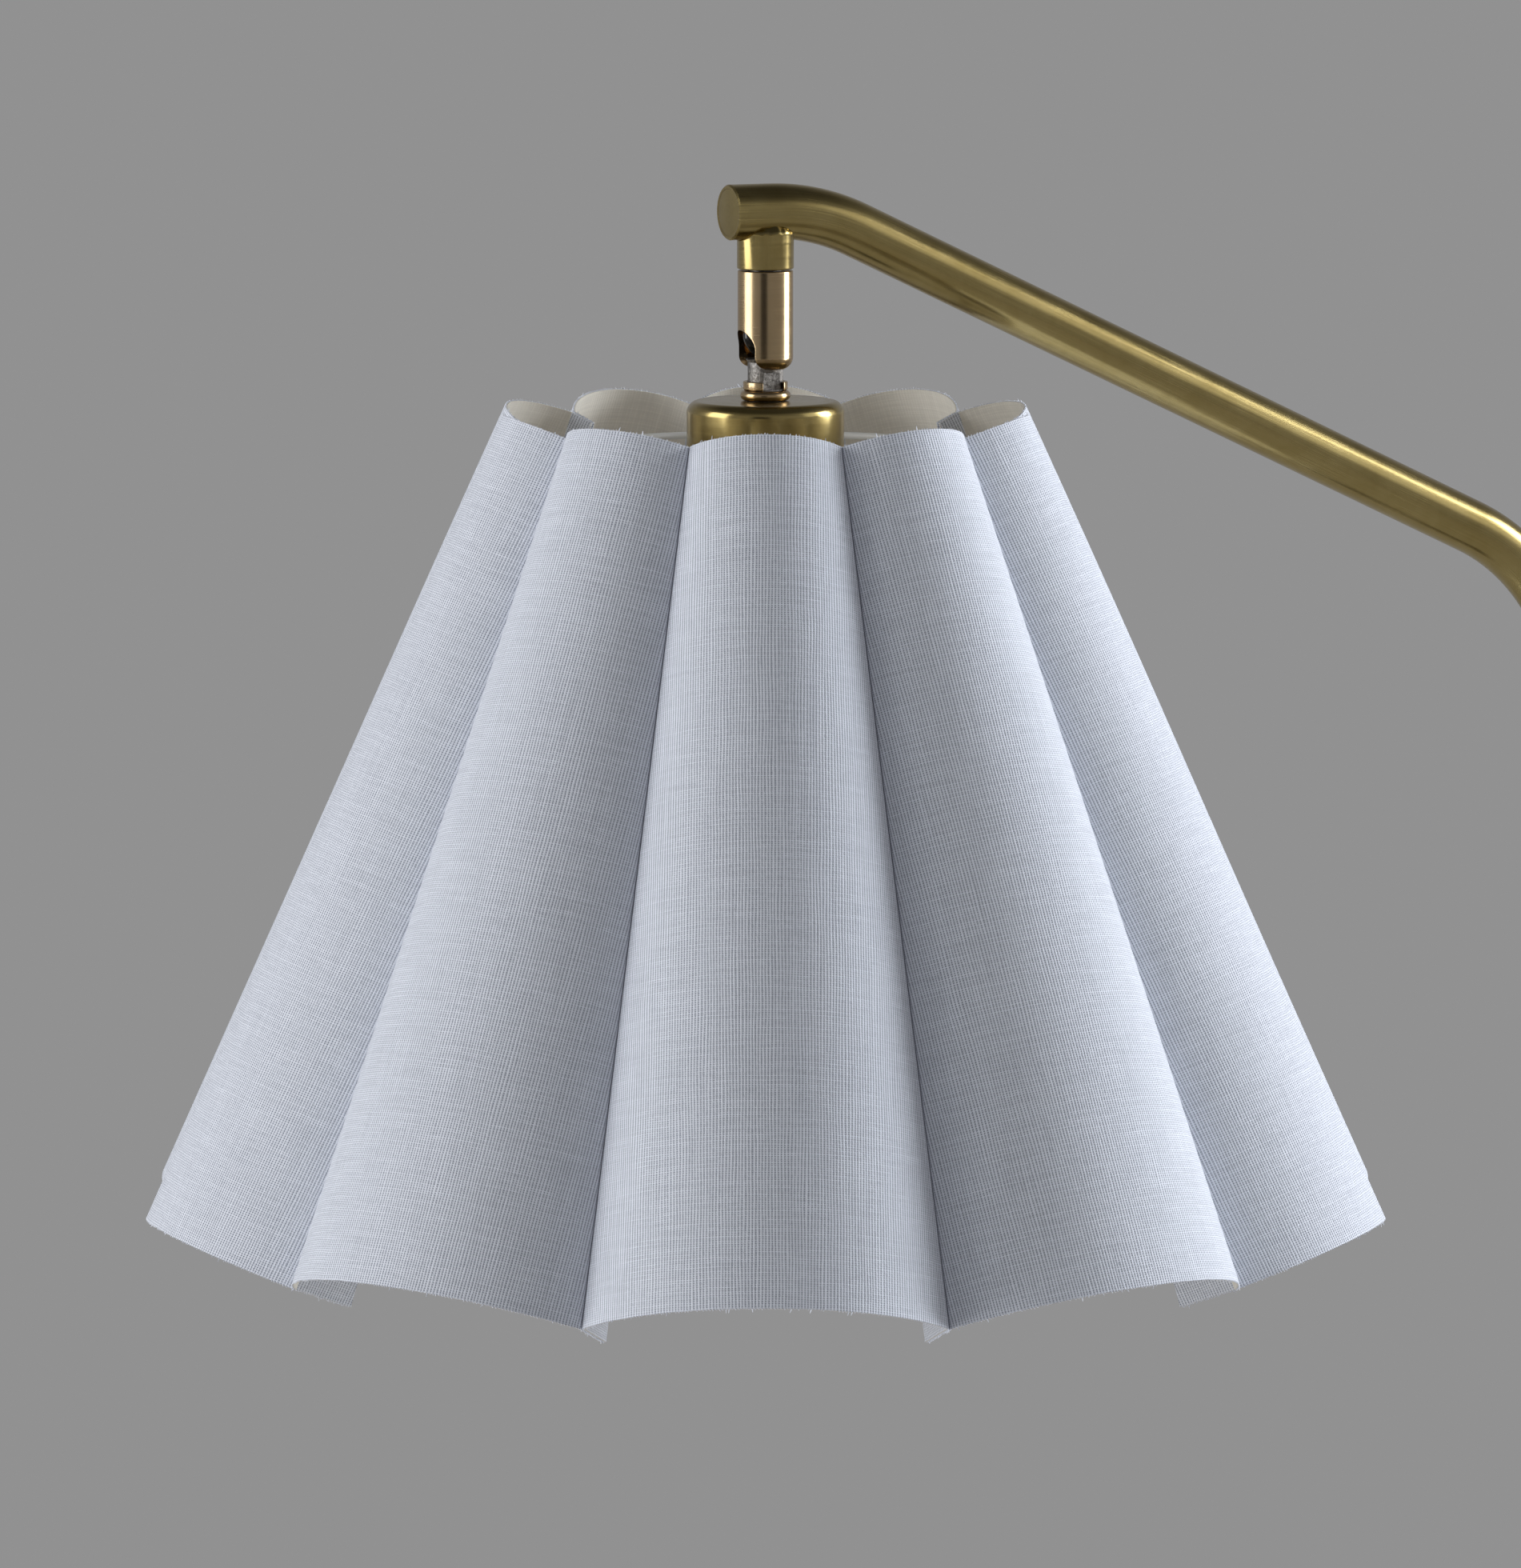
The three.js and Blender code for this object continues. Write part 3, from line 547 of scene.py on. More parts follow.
def turned(node, outline, axis=SHADE_AXIS, sides=72, steps=5, ribs=None, tilt=None):
    """Turned piece that stands for a node. tilt moves its points out of the upright position."""
    points, faces, uvs = lathe(rounded(outline, steps), axis, sides, ribs)
    if tilt is not None:
        points = [tilt @ Vector(point) for point in points]
    slot = SLOT_OF[node]
    return finished(node, points, faces, uvs, ["brass_turned" if slot == "brass" else slot])


def along_x(x, z):
    """Lays a piece made about the origin's Z axis along +X, at the point (x, 0, z)."""
    return Matrix.Translation((x, 0, z)) @ Matrix.Rotation(math.radians(90), 4, "Y")


class Route:
    """Line in the XZ plane made of straight runs and bends. Headings run from +X to +Z."""

    def __init__(self, x, z, heading):
        self.x, self.z, self.heading, self.stations = x, z, heading, []
        self.mark()

    def mark(self):
        self.stations.append((Vector((self.x, 0, self.z)), self.heading))

    def ahead(self, length, steps=1):
        for _ in range(steps):
            self.x += length / steps * math.cos(self.heading)
            self.z += length / steps * math.sin(self.heading)
            self.mark()
        return self

    def bend(self, radius, angle, steps):
        side = math.copysign(1, angle)
        hub_x = self.x - side * radius * math.sin(self.heading)
        hub_z = self.z + side * radius * math.cos(self.heading)
        for _ in range(steps):
            self.heading += angle / steps
            self.x = hub_x + side * radius * math.sin(self.heading)
            self.z = hub_z - side * radius * math.cos(self.heading)
            self.mark()
        return self


def wrap(lengths, sides, radius, flip=False):
    """Faces and UVs over closed rings of points, the last one joined to the first."""
    faces, uvs = [], []
    rings = len(lengths) - 1
    for i in range(rings):
        j = (i + 1) % rings
        for k in range(sides):
            n = (k + 1) % sides
            u0, u1 = (2 * math.pi * radius * step / sides for step in (k, k + 1))
            face = [(i * sides + k, (u0, lengths[i])), (j * sides + k, (u0, lengths[i + 1])),
                    (j * sides + n, (u1, lengths[i + 1])), (i * sides + n, (u1, lengths[i]))]
            if flip:
                face = [face[0], *face[:0:-1]]
            faces.append([index for index, _ in face])
            uvs += [uv for _, uv in face]
    return faces, uvs


def tube(stations, outer, bore, sides=64, chamfer=0.35):
    """Tube along stations of (point, heading), with small chamfers at both ends."""
    first, last = stations[0], stations[-1]
    inside = Vector((math.cos(first[1]), 0, math.sin(first[1]))) * chamfer
    outside = Vector((math.cos(last[1]), 0, math.sin(last[1]))) * chamfer
    rings = [(first[0], first[1], bore), (first[0], first[1], outer - chamfer),
             (first[0] + inside, first[1], outer)]
    rings += [(point, heading, outer) for point, heading in stations[1:-1]]
    rings += [(last[0] - outside, last[1], outer), (last[0], last[1], outer - chamfer),
              (last[0], last[1], bore)]
    rings += [(point, heading, bore) for point, heading in stations[-2:0:-1]]
    points, lengths = [], [0]
    for i, (point, heading, radius) in enumerate(rings):
        normal = Vector((-math.sin(heading), 0, math.cos(heading)))
        if i:
            lengths.append(lengths[-1] + max((point - rings[i - 1][0]).length, 0.5))
        for k in range(sides):
            angle = 2 * math.pi * k / sides
            points.append(point + normal * (radius * math.cos(angle))
                          + Vector((0, radius * math.sin(angle), 0)))
    lengths.append(lengths[-1] + 1)
    return points, *wrap(lengths, sides, outer)


def carve(piece, *tools, soften=0.25):
    """Cuts tools out of a piece and softens the cut edges."""
    for tool in tools:
        cut = piece.modifiers.new("cut", "BOOLEAN")
        cut.operation = "DIFFERENCE"
        cut.solver = "EXACT"
        cut.object = tool
    if soften:
        bevel = piece.modifiers.new("soften", "BEVEL")
        bevel.width = soften * MM
        bevel.segments = 2
        bevel.limit_method = "ANGLE"
        bevel.angle_limit = math.radians(40)
    graph = bpy.context.evaluated_depsgraph_get()
    mesh = bpy.data.meshes.new_from_object(piece.evaluated_get(graph))
    piece.modifiers.clear()
    piece.data = mesh
    for tool in tools:
        bpy.data.objects.remove(tool)


def tool_object(made):
    mesh = bpy.data.meshes.new("tool")
    made.to_mesh(mesh)
    made.free()
    return linked(bpy.data.objects.new("tool", mesh))


def block(size, middle):
    """Box used as a cutting tool."""
    made = bmesh.new()
    bmesh.ops.create_cube(made, size=1)
    bmesh.ops.transform(made, verts=made.verts, matrix=Matrix.Translation(Vector(middle) * MM)
                        @ Matrix.Diagonal((*(side * MM for side in size), 1)))
    return tool_object(made)


def drill(radius, x, z, segments):
    """Cutting tool along X: a rod whose middle is at (x, 0, z)."""
    made = bmesh.new()
    bmesh.ops.create_cone(made, cap_ends=True, segments=segments, radius1=radius * MM,
                          radius2=radius * MM, depth=12 * MM, matrix=along_x(x * MM, z * MM))
    return tool_object(made)


# ---- base and pole ----
BASE_R = 127
COVER_T = 1
COVER_TOP = corners("base_cover")[1].z
COVER_FOOT = corners("base_cover")[0].z
POLE_FOOT = corners("pole_lower")[0].z


def add_base():
    pad_corner = corners("base_pad")[1]
    turned("base_pad", ring(0, pad_corner.x, 0, pad_corner.z, 0, 0.6), POLE_AXIS, 128)

    inside = BASE_R - COVER_T
    under = COVER_TOP - COVER_T
    cover = turned("base_cover", [(inside, COVER_FOOT, 0.3), (BASE_R, COVER_FOOT, 0.4),
                                  (BASE_R, COVER_TOP, 10), (NIPPLE_R, COVER_TOP, 0),
                                  (NIPPLE_R, under, 0), (inside, under, 9)], POLE_AXIS, 192,
                   steps=12)
    bushing_z = centre("cord_bushing").z
    carve(cover, drill(4.1, BASE_R, bushing_z, segments=48), soften=0)

    turned("cord_bushing", [(2.5, -5, 0.3), (3.7, -5, 0.4), (3.7, 2, 0), (5.2, 2.4, 0.3),
                            (5.2, 4.4, 0.7), (4.4, 5, 0.4), (2.5, 5, 0.5)], sides=48,
           axis=POLE_AXIS, tilt=along_x(BASE_R - 1.4, bushing_z))

    bore = TUBE_R + 0.3
    flange_r = 15
    collar_top = POLE_FOOT + 8
    turned("base_collar", [(bore, POLE_FOOT, 0.2), (flange_r, POLE_FOOT, 0.5),
                           (flange_r, POLE_FOOT + 3.2, 0.8), (12.6, POLE_FOOT + 4, 0.8),
                           (10.6, collar_top, 0.9), (bore, collar_top, 0.2)], POLE_AXIS, 96)


def add_pole():
    for node in ("pole_lower", "pole_middle"):
        low, high = corners(node)
        route = Route(0, low.z, math.pi / 2).ahead(high.z - low.z, 12)
        finished(node, *tube(route.stations, TUBE_R, TUBE_BORE_R))


# ---- arm ----
def add_arm():
    reach = -AXIS_X
    tip_straight = 1.3
    slope_start = tip_straight + BEND_R * math.sin(ARM_SLOPE)
    slope_end = reach - BEND_R * (1 - math.sin(ARM_SLOPE))
    slope_length = (slope_end - slope_start) / math.cos(ARM_SLOPE)
    pole_top = (ARM_Z - BEND_R * (1 - math.cos(ARM_SLOPE)) - slope_length * math.sin(ARM_SLOPE)
                - BEND_R * math.cos(ARM_SLOPE))
    foot = corners("arm_tube")[0].z
    route = Route(0, foot, math.pi / 2).ahead(pole_top - foot, 12)
    route.bend(BEND_R, math.pi / 2 - ARM_SLOPE, 36).ahead(slope_length, 8)
    route.bend(BEND_R, ARM_SLOPE, 20).ahead(route.x - ARM_END, 4)
    finished("arm_tube", *tube(route.stations, TUBE_R, TUBE_BORE_R, sides=96, chamfer=0.45))

    plug = TUBE_BORE_R - 0.03
    turned("arm_end_cap", [(0, 0, 0), (plug, 0, 0.05), (plug, 7, 0.3), (0, 7, 0)], POLE_AXIS, 96,
           tilt=along_x(ARM_END + 0.04, ARM_Z))
    add_boss()


def add_boss():
    """Short turned boss under the tip. Its upper edge follows the tube and carries the weld."""
    sides = 96
    bore, outer = NIPPLE_R, 8.2
    foot = ARM_Z - BOSS_FOOT
    saddle_r = TUBE_R + 0.05
    crest = ARM_Z - 5.6

    def tube_side(radius, angle):
        """Height where the tube's underside stands over a point of the boss."""
        across = radius * math.sin(angle)
        return ARM_Z - math.sqrt(max(saddle_r ** 2 - across ** 2, 0))

    def saddle(radius, angle):
        """Top of the boss: it follows the tube, and beside the tube a weld fillet climbs to it."""
        ripple = 0.14 * math.sin(15 * angle) + 0.1 * math.sin(26 * angle + 1 + radius)
        fillet = crest + 1.3 * (outer - radius) + ripple
        return min(tube_side(radius, angle) + 0.15, fillet)

    # Radius, and height over the boss's foot or over the saddle.
    rows = [(bore, "saddle", 0), (bore, "foot", 0.2), (bore + 0.2, "foot", 0),
            (outer - 0.5, "foot", 0), (outer - 0.15, "foot", 0.15), (outer, "foot", 0.5),
            (outer, "saddle", -0.9), (outer + 0.16, "saddle", -0.35), (outer - 0.05, "saddle", 0),
            (outer - 0.4, "saddle", 0), (outer - 0.8, "saddle", 0), (outer - 1.2, "saddle", 0),
            (outer - 1.7, "saddle", 0)]
    points = []
    for radius, level, rise in rows:
        for k in range(sides):
            angle = 2 * math.pi * k / sides
            z = (foot if level == "foot" else saddle(radius, angle)) + rise
            points.append((AXIS_X + radius * math.cos(angle), radius * math.sin(angle), z))
    lengths = [2 * i for i in range(len(rows) + 1)]
    finished("arm_boss", points, *wrap(lengths, sides, outer, flip=True), ["brass_turned"])


# ---- swivel ----
def add_barrel():
    """Barrel with a round foot, a socket for the stem's ball and a slot on its outer side."""
    barrel_r = 8
    top = ARM_Z - BARREL_TOP
    foot = PIVOT_Z - 6.16
    seat_r = 6.75
    mouth_r = 5.5
    mouth = math.degrees(math.acos(mouth_r / seat_r))
    ceiling = ARM_Z - BARREL_CEILING
    corner_r = 3.9
    foot_turn = math.degrees(math.acos((mouth_r - barrel_r + corner_r) / corner_r))
    wall = top - foot - corner_r
    wall_rows = 24  # keep the cut's faces small, so that the barrel shades evenly
    outline = [*arc((barrel_r - corner_r, foot + corner_r), corner_r, -foot_turn, 0, 14),
               *((barrel_r, foot + corner_r + wall * k / wall_rows, 0)
                 for k in range(1, wall_rows)),
               (barrel_r, top, 0.35), (NIPPLE_R, top, 0.2), (NIPPLE_R, ceiling, 0),
               (seat_r, ceiling, 0), *arc((0, PIVOT_Z), seat_r, 0, -mouth, 8)]
    barrel = turned("swivel_barrel", outline, sides=120)
    carve(barrel, slot_tool(5.5, foot - 3), soften=0.22)


def slot_tool(half, bottom):
    """Cutting tool for the slot: round at the pivot, from the barrel's axis outwards."""
    slot = bmesh.new()
    profile = [(-half, bottom), (half, bottom)]
    profile += [(half * math.cos(a), PIVOT_Z + half * math.sin(a))
                for a in (math.pi * k / 28 for k in range(29))]
    near, far = ([slot.verts.new((x * MM, y * MM, z * MM)) for y, z in profile]
                 for x in (AXIS_X, AXIS_X - 13))
    slot.faces.new(near)
    slot.faces.new(far[::-1])
    for i in range(len(profile)):
        j = (i + 1) % len(profile)
        slot.faces.new((near[j], near[i], far[i], far[j]))
    bmesh.ops.recalc_face_normals(slot, faces=slot.faces)
    return tool_object(slot)


def add_swivel_lead():
    """The lead bulges into the slot."""
    bulge = [(0, 13.8), (-0.8, 10.4), (-3.6, 6.9), (-4.7, 3.8), (-3.2, 0.8), (-0.4, -1), (0, -2.4)]
    line = smooth_line([Vector((AXIS_X + x, 0, PIVOT_Z + z)) for x, z in bulge], 8)
    stations = []
    for i, point in enumerate(line):
        step = line[min(i + 1, len(line) - 1)] - line[max(i - 1, 0)]
        stations.append((point, math.atan2(step.z, step.x)))
    points, faces, uvs = tube(stations, outer=2.2, bore=0.8, sides=28, chamfer=0.3)
    name = "swivel_lead"
    lead = mesh_object(f"{name}_finished", points, faces, uvs, [SLOT_OF[name]])
    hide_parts(name)
    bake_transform(lead)


def smooth_line(knots, steps):
    """Catmull-Rom curve through the knots."""
    padded = [2 * knots[0] - knots[1], *knots, 2 * knots[-1] - knots[-2]]
    line = []
    for a, b, c, d in zip(padded, padded[1:], padded[2:], padded[3:]):
        for k in range(steps):
            t = k / steps
            line.append(0.5 * (2 * b + (c - a) * t + (2 * a - 5 * b + 4 * c - d) * t ** 2
                               + (3 * b - a - 3 * c + d) * t ** 3))
    line.append(knots[-1])
    return line


def add_stem():
    """Stem with its ball and wrench flats, the notched lock nut and the bead."""
    ball_r, stem_r, bore = 6.4, 5.1, 2.7
    rim = -2.9  # the ball is cut off level at this height from its centre
    rim_angle = math.degrees(math.asin(rim / ball_r))
    neck_angle = -math.degrees(math.acos(stem_r / ball_r))
    outline = [*hung((bore, STEM_FOOT, 0.2), (4.9, STEM_FOOT, 0.3), (4.9, NUT_FOOT, 0),
                     (stem_r, NUT_FOOT, 0.2)),
               *arc((0, PIVOT_Z), ball_r, neck_angle, rim_angle, 8), (bore, PIVOT_Z + rim, 0)]
    stem = turned("swivel_stem", outline, sides=96)
    flat_at, cut = 4.3, 4
    flats = [block((14, cut, 5.2), (AXIS_X, side * (flat_at + cut / 2), ARM_Z - FLATS_MIDDLE))
             for side in (-1, 1)]
    carve(stem, *flats, soften=0.18)

    nut = turned("swivel_lock_nut", hung(*ring(5.4, 6.45, NUT_FOOT, NUT_TOP, 0.2, 0.35)))
    carve(nut, block((6.6, 8, 6), (AXIS_X, -6, ARM_Z - 50)), soften=0.2)
    turned("swivel_bead", hung(*ring(STEM_HOLE_R, 7.25, BEAD_FOOT, BEAD_TOP, 0.1, 1.45)), steps=10)


# ---- socket and bulb ----
def add_socket():
    """Cap, grooved socket body, screw shell, switch knob and the retaining ring."""
    cap_r, wall, shoulder = 22.65, 0.8, 3.4
    turned("socket_cap", hung((cap_r - wall, CAP_FOOT, 0.2), (cap_r, CAP_FOOT, 0.3),
                              (cap_r, CAP_TOP, shoulder), (STEM_HOLE_R, CAP_TOP, 0.3),
                              (STEM_HOLE_R, CAP_TOP + wall, 0),
                              (cap_r - wall, CAP_TOP + wall, shoulder - wall)),
           sides=160, steps=12)

    body_r, thread_r, groove_r, cavity_r = 19, 16.5, 15.9, 14.9
    thread_pitch = 4
    thread = [corner for i in reversed(range(6)) for corner in
              ((groove_r, 93.4 + thread_pitch * i, 0.3), (groove_r, 92.2 + thread_pitch * i, 0.3),
               (thread_r, 91.4 + thread_pitch * i, 0.2), (thread_r, 90.3 + thread_pitch * i, 0.2))]
    thread[-1] = (thread_r, SOCKET_SHELF, 0)
    body = turned("socket_body", hung((STEM_HOLE_R, CAVITY_TOP, 0), (cavity_r, CAVITY_TOP, 0.4),
                                      (cavity_r, SOCKET_FOOT, 0.3), (thread_r, SOCKET_FOOT, 0.4),
                                      *thread, (body_r, SOCKET_SHELF, 0.4),
                                      (body_r, SOCKET_TOP, 0.8), (STEM_HOLE_R, SOCKET_TOP, 0)),
                  sides=96, steps=3)
    carve(body, drill(2.6, AXIS_X + body_r, ARM_Z - SPINDLE, segments=32), soften=0)

    shell_r, shell_wall = 14.6, 0.8
    turned("screw_shell", hung((13.7, SHELL_FOOT, 0.1), (shell_r, SHELL_FOOT, 0.3),
                               (shell_r, SHELL_TOP, 0.6), (8, SHELL_TOP, 0),
                               (8, SHELL_TOP + shell_wall, 0), (13.7, SHELL_TOP + shell_wall, 0.3)))

    spindle_r, knob_r, grip_start, grip_end, knob_end = 2.2, 4.9, 12.5, 23.6, 25.1
    turned("switch_knob", [(0, 0, 0), (spindle_r, 0, 0.2), (spindle_r, 10, 0.3), (4.4, 10.6, 0.3),
                           (knob_r, grip_start, 0.4), (knob_r, grip_end, 1.4), (3.2, 25.6, 0.6),
                           (1.8, knob_end, 0.3), (0, knob_end, 0)], POLE_AXIS, 120,
           ribs=(15, 0.55, 12, grip_end, 4.6), tilt=along_x(AXIS_X + 14, ARM_Z - SPINDLE))

    grip_r, flange_r = 19.9, 22
    turned("retaining_ring", hung((RING_BORE_R, RING_FOOT, 0.2), (grip_r, RING_FOOT, 0.4),
                                  (grip_r, 94.6, 0.3), (flange_r, RING_RIM, 0.3),
                                  (flange_r, RING_TOP, 0.3), (RING_BORE_R, RING_TOP, 0.2)),
           sides=240, ribs=(40, 0.5, ARM_Z - RING_FOOT, ARM_Z - 94.5, 19.4))


def add_bulb():
    """Threaded base, the housing that flares from it, and the globe."""
    root_r, crest_r, pitch = 12.3, 13.2, 4.5
    thread = [corner for i in reversed(range(4)) for corner in
              ((crest_r, 96.1 + pitch * i, 0.7), (root_r, 93.9 + pitch * i, 0.5))]
    turned("bulb_base", hung((0, BULB_BASE_FOOT, 0), (root_r, BULB_BASE_FOOT, 0.3), *thread,
                             (root_r, 92.9, 0.3), (7, 90.1, 0.5), (3.6, BULB_TIP, 0.3),
                             (0, BULB_TIP, 0)))
    neck_r = 13.1
    turned("bulb_housing", hung((0, HOUSING_FOOT, 0), (27.5, HOUSING_FOOT, 0.4), (27.3, 141.5, 0.3),
                                (26.8, 141, 0.3), (24, 132, 6), (17, 121.5, 3),
                                (neck_r, 118.8, 0.5), (neck_r, HOUSING_TOP, 0.3),
                                (0, HOUSING_TOP, 0)), sides=96, steps=8)
    globe_z, globe_r, shell = ARM_Z - GLOBE_MIDDLE, 30, 1.2
    rim_angle = 24
    rim_r = globe_r * math.cos(math.radians(rim_angle))
    rim_z = ARM_Z - GLOBE_TOP
    turned("bulb_globe", [*arc((0, globe_z), globe_r, -90, rim_angle, 32), (rim_r, rim_z, 0),
                          (rim_r - shell, rim_z, 0),
                          *arc((0, globe_z), globe_r - shell, rim_angle, -90, 32)], sides=96)


# ---- shade ----
LOBES = 10
SEAM_ANGLE = math.pi / LOBES
SHADE_TOP_R = 69.6
SHADE_BOTTOM_R = 163.9
SHADE_TOP_Z = ARM_Z - 61.5
SHADE_HEIGHT = 234.5
CONE_ANGLE = math.atan((SHADE_BOTTOM_R - SHADE_TOP_R) / SHADE_HEIGHT)
PANEL_LENGTH = SHADE_HEIGHT / math.cos(CONE_ANGLE)
LOBE_BULGE = 0.585
LOBE_TIGHTNESS = 1.05  # above 1, the lobe's front is flatter and its flanks are tighter
FIN_TOP, FIN_BOTTOM = 8, 20
FOLD_R = 1.1
GLUE_GAP = 0.15  # from a seam's plane to the fin
CLOTH_T = 0.8
CLOTH_SHARE = 0.55  # woven face; the rest is the liner
FIRST_LOBE = math.radians(28.75)
FIN_TURN = math.atan(math.tan(SEAM_ANGLE) * math.cos(CONE_ANGLE))
ARC_STEPS, FOLD_STEPS, FIN_STEPS = 26, 4, 5
ROWS = 56

THREAD_R = 0.22
THREAD_INSET = 0.45  # root, as a share of the way from the woven face to the liner
THREAD_BURIED = 0.3
SHORT_END, LONG_END = (0.1, 0.5), (0.6, 1.3)  # least and greatest length
LONG_SHARE = 0.07


def unit_lobe(end_angle, steps=400):
    """Half a lobe whose direction turns from level to end_angle, scaled to a half chord of 1."""
    share = (np.arange(steps) + 0.5) / steps
    direction = end_angle * share ** LOBE_TIGHTNESS
    x = np.concatenate([[0], np.cumsum(np.cos(direction))])
    y = np.concatenate([[0], -np.cumsum(np.sin(direction))])
    return x / x[-1], y / x[-1], np.arange(steps + 1) / x[-1]


def end_angle_for(bulge):
    """Direction at the seam that gives the lobe the wanted depth."""
    low, high = 0.2, 2.0
    for _ in range(40):
        middle = (low + high) / 2
        low, high = (middle, high) if -unit_lobe(middle)[1][-1] < bulge else (low, middle)
    return low


END_ANGLE = end_angle_for(LOBE_BULGE)
LOBE_X, LOBE_Y, LOBE_S = unit_lobe(END_ANGLE)


def half_outline(chord, fin_depth):
    """Half of a panel's outer outline: (along the chord, outwards, direction, cloth length)."""
    last_turn = math.pi / 2 + FIN_TURN - END_ANGLE
    reach = FOLD_R * math.tan(last_turn / 2)
    lobe_length = LOBE_S[-1] * chord - reach
    outline = []
    for k in range(ARC_STEPS + 1):
        s = lobe_length * k / ARC_STEPS
        share = s / (LOBE_S[-1] * chord)
        x, y = (np.interp(s / chord, LOBE_S, curve) * chord for curve in (LOBE_X, LOBE_Y))
        outline.append((x, y + LOBE_BULGE * chord, END_ANGLE * share ** LOBE_TIGHTNESS, s))
    x, y, direction, s = outline[-1]
    turn_step = (math.pi / 2 + FIN_TURN - direction) / FOLD_STEPS
    for _ in range(FOLD_STEPS):
        step = 2 * FOLD_R * math.sin(turn_step / 2)
        x += step * math.cos(direction + turn_step / 2)
        y -= step * math.sin(direction + turn_step / 2)
        direction += turn_step
        s += FOLD_R * turn_step
        outline.append((x, y, direction, s))
    run = (fin_depth - reach) / FIN_STEPS
    for _ in range(FIN_STEPS):
        x += run * math.cos(direction)
        y -= run * math.sin(direction)
        s += run
        outline.append((x, y, direction, s))
    return outline


def panel_row(share, waves):
    """Points across a panel at a share of its length, for the outer face and each depth in it."""
    seam_r = SHADE_BOTTOM_R + (SHADE_TOP_R - SHADE_BOTTOM_R) * share
    chord = seam_r * math.sin(SEAM_ANGLE) - GLUE_GAP
    fin = FIN_BOTTOM + (FIN_TOP - FIN_BOTTOM) * share
    half = half_outline(chord, fin)
    full = [(-x, y, -direction, -s) for x, y, direction, s in half[:0:-1]] + half
    level = SHADE_TOP_Z - SHADE_HEIGHT * (1 - share)
    row = []
    for x, y, direction, s in full:
        on_lobe = max(0, 1 - abs(x) / chord) ** 0.5
        lift = on_lobe * sum(size * math.sin(a * share + b * x / chord + c)
                             for size, a, b, c in waves)
        for inset in (0, CLOTH_T * CLOTH_SHARE, CLOTH_T):
            depth = inset - lift
            along = x - depth * math.sin(direction)
            out = y - depth * math.cos(direction)
            radial = seam_r * math.cos(SEAM_ANGLE) + out * math.cos(CONE_ANGLE)
            row.append((radial, along, level + out * math.sin(CONE_ANGLE), s))
    return row


def add_panel(index):
    """One cloth panel: the lobe, a soft fold at each seam and the two glued fins."""
    chance = random.Random(100 + index)
    waves = [(chance.uniform(0.1, 0.25), chance.uniform(2, 7), chance.uniform(1, 3),
              chance.uniform(0, 6)) for _ in range(3)]
    turn = Matrix.Rotation(FIRST_LOBE + 2 * SEAM_ANGLE * index, 3, "Z")
    rows = [panel_row(k / ROWS, waves) for k in range(ROWS + 1)]
    columns = len(rows[0]) // 3
    points = [turn @ Vector(point[:3]) + Vector((AXIS_X, 0, 0)) for row in rows for point in row]

    def at(k, column, layer):
        return k * columns * 3 + column * 3 + layer

    def uv(k, column):
        return rows[k][column * 3][3], PANEL_LENGTH * k / ROWS

    faces, uvs, face_looks = [], [], []

    def quad(grid, look):
        faces.append([at(*spot) for spot in grid])
        uvs.extend(uv(k, column) for k, column, _ in grid)
        face_looks.append(look)

    for k in range(ROWS):
        for c in range(columns - 1):
            quad([(k, c, 0), (k, c + 1, 0), (k + 1, c + 1, 0), (k + 1, c, 0)], 0)
            on_fin = min(c, columns - 2 - c) < FIN_STEPS
            quad([(k, c, 2), (k + 1, c, 2), (k + 1, c + 1, 2), (k, c + 1, 2)], 0 if on_fin else 1)
        for layer, below in ((0, 1), (1, 2)):
            c = columns - 1
            quad([(k, 0, layer), (k + 1, 0, layer), (k + 1, 0, below), (k, 0, below)], layer)
            quad([(k, c, layer), (k, c, below), (k + 1, c, below), (k + 1, c, layer)], layer)
    for c in range(columns - 1):
        for layer, below in ((0, 1), (1, 2)):
            quad([(0, c, layer), (0, c, below), (0, c + 1, below), (0, c + 1, layer)], layer)
            quad([(ROWS, c, layer), (ROWS, c + 1, layer), (ROWS, c + 1, below), (ROWS, c, below)],
                 layer)
    node = f"shade_panel_{index + 1:02d}"
    panel = finished(node, points, faces, uvs, looks=["linen", "liner"], face_looks=face_looks)
    threads = add_thread_ends(index, rows, turn, chance)
    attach(threads, "head")


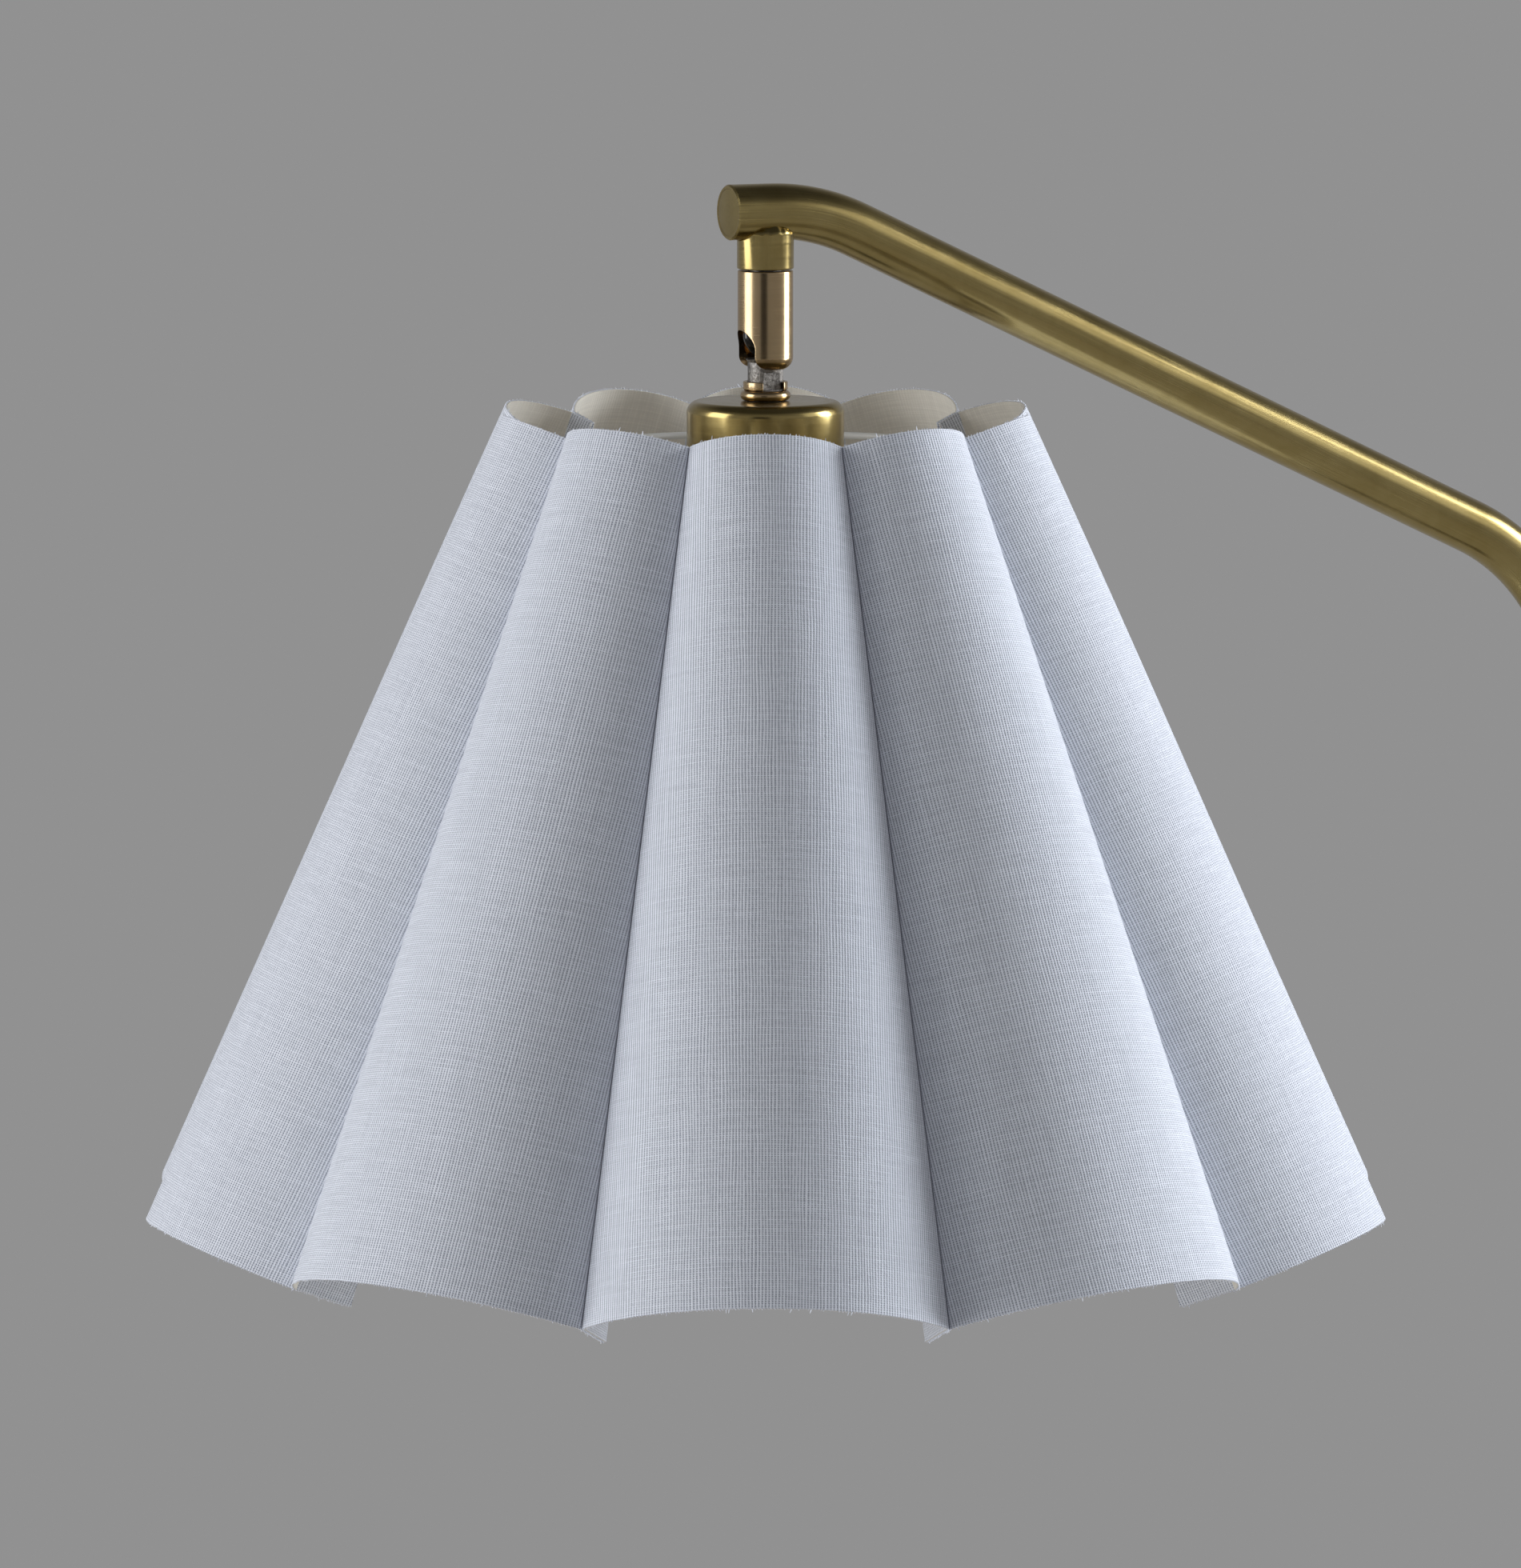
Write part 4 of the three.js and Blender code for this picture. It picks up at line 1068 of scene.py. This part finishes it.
def add_thread_ends(index, rows, turn, chance):
    """Raw cut edges: warp ends that stand out of the panel's top and bottom edge."""
    points, faces = [], []
    for row, following, side in ((rows[0], rows[1], -1), (rows[-1], rows[-2], 1)):
        outer = [Vector(point[:3]) for point in row[::3]]
        inner = [Vector(point[:3]) for point in row[1::3]]
        beyond = [Vector(a[:3]) - Vector(b[:3]) for a, b in zip(row[::3], following[::3])]
        widths = [point[3] for point in row[::3]]
        count = int((widths[-1] - widths[0]) / WARP_PITCH)
        for k in range(count):
            s = widths[0] + (k + 0.5) * WARP_PITCH
            c = min(int(np.searchsorted(widths, s)), len(widths) - 1)
            share = (s - widths[c - 1]) / (widths[c] - widths[c - 1])
            root = outer[c - 1].lerp(outer[c], share)
            root = root.lerp(inner[c - 1].lerp(inner[c], share), THREAD_INSET)
            ahead = beyond[c].normalized()
            across = (outer[c] - outer[c - 1]).normalized()
            outwards = across.cross(ahead).normalized()
            length = chance.uniform(*SHORT_END)
            if chance.random() < LONG_SHARE:
                length = chance.uniform(*LONG_END)
            lean = Vector((chance.gauss(0, 0.35), chance.gauss(0, 0.25)))
            tip = root + (ahead + across * lean.x + outwards * lean.y).normalized() * length
            add_thread(points, faces, (root - ahead * THREAD_BURIED, root, tip), across, outwards)
    points = [turn @ point + Vector((AXIS_X, 0, 0)) for point in points]
    uvs = [(0.5 * WARP_PITCH, 0.5 * WEFT_PITCH)] * sum(len(face) for face in faces)
    return mesh_object(f"thread_ends_{index + 1:02d}", points, faces, uvs, ["linen"])


def add_thread(points, faces, places, across, outwards):
    """Four-sided thread through three places that tapers to the last."""
    first = len(points)
    for place, size in zip(places, (THREAD_R, THREAD_R, THREAD_R * 0.35)):
        for x, y in ((1, 0), (0, 1), (-1, 0), (0, -1)):
            points.append(place + across * (x * size) + outwards * (y * size))
    for start in (first, first + 4):
        for k in range(4):
            a, b = start + k, start + (k + 1) % 4
            faces.append([a, b, b + 4, a + 4])
    faces.append([first + k for k in (3, 2, 1, 0)])
    faces.append([first + 8 + k for k in range(4)])


def add_carrier():
    """Wire ring in the shade's neck, three spokes and the ring that sits on the socket."""
    low, high = corners("shade_wire_ring")
    wire_r = (high.z - low.z) / 2
    ring_r = (high.x - low.x) / 2 - wire_r
    ring_z = (low.z + high.z) / 2
    section = [(ring_r + wire_r * math.cos(a), ring_z + wire_r * math.sin(a), 0)
               for a in (2 * math.pi * k / 20 for k in range(20))]
    turned("shade_wire_ring", section, sides=128)

    fitter_z = centre("fitter_ring").z
    fitter_r = 21
    turned("fitter_ring", ring(RING_BORE_R, fitter_r, fitter_z - 1, fitter_z + 1, 0.4, 0.6),
           sides=96)
    rise = math.atan2(ring_z - fitter_z, ring_r - fitter_r)
    weld = 0.2  # the spokes' ends go this far into the rings
    inner = fitter_r - weld
    length = (ring_r - wire_r + weld - inner) / math.cos(rise)
    for i in range(3):
        turn = math.radians(60 + 120 * i)
        lay = (Matrix.Translation((AXIS_X, 0, 0)) @ Matrix.Rotation(turn, 4, "Z")
               @ Matrix.Translation((inner, 0, fitter_z))
               @ Matrix.Rotation(math.pi / 2 - rise, 4, "Y"))
        turned(f"shade_spoke_{i + 1}", ring(0, wire_r, 0, length, 0, 0.2), POLE_AXIS, 20, tilt=lay)


# ---- floor and the CAD's own pieces ----
def add_floor():
    """Plain pale floor."""
    made = bmesh.new()
    bmesh.ops.create_circle(made, cap_ends=True, segments=128, radius=4)
    mesh = bpy.data.meshes.new("floor")
    made.to_mesh(mesh)
    made.free()
    mesh.materials.append(Look("pale_floor", (0.8, 0.795, 0.79), 0.8).material)
    floor = linked(bpy.data.objects.new("floor", mesh))
    light_floor(floor)


def dress_cad_nodes():
    """The CAD nodes that stay in sight or inside get the same materials."""
    for name, node in frame["nodes"].items():
        if node.hide_render:
            continue
        node.data.materials.clear()
        node.data.materials.append(LOOKS[SLOT_OF[name]])


add_camera()
add_world()
add_lights()
add_floor()
add_base()
add_pole()
add_arm()
add_barrel()
add_swivel_lead()
add_stem()
add_socket()
add_bulb()
add_carrier()
for lobe in range(LOBES):
    add_panel(lobe)
dress_cad_nodes()
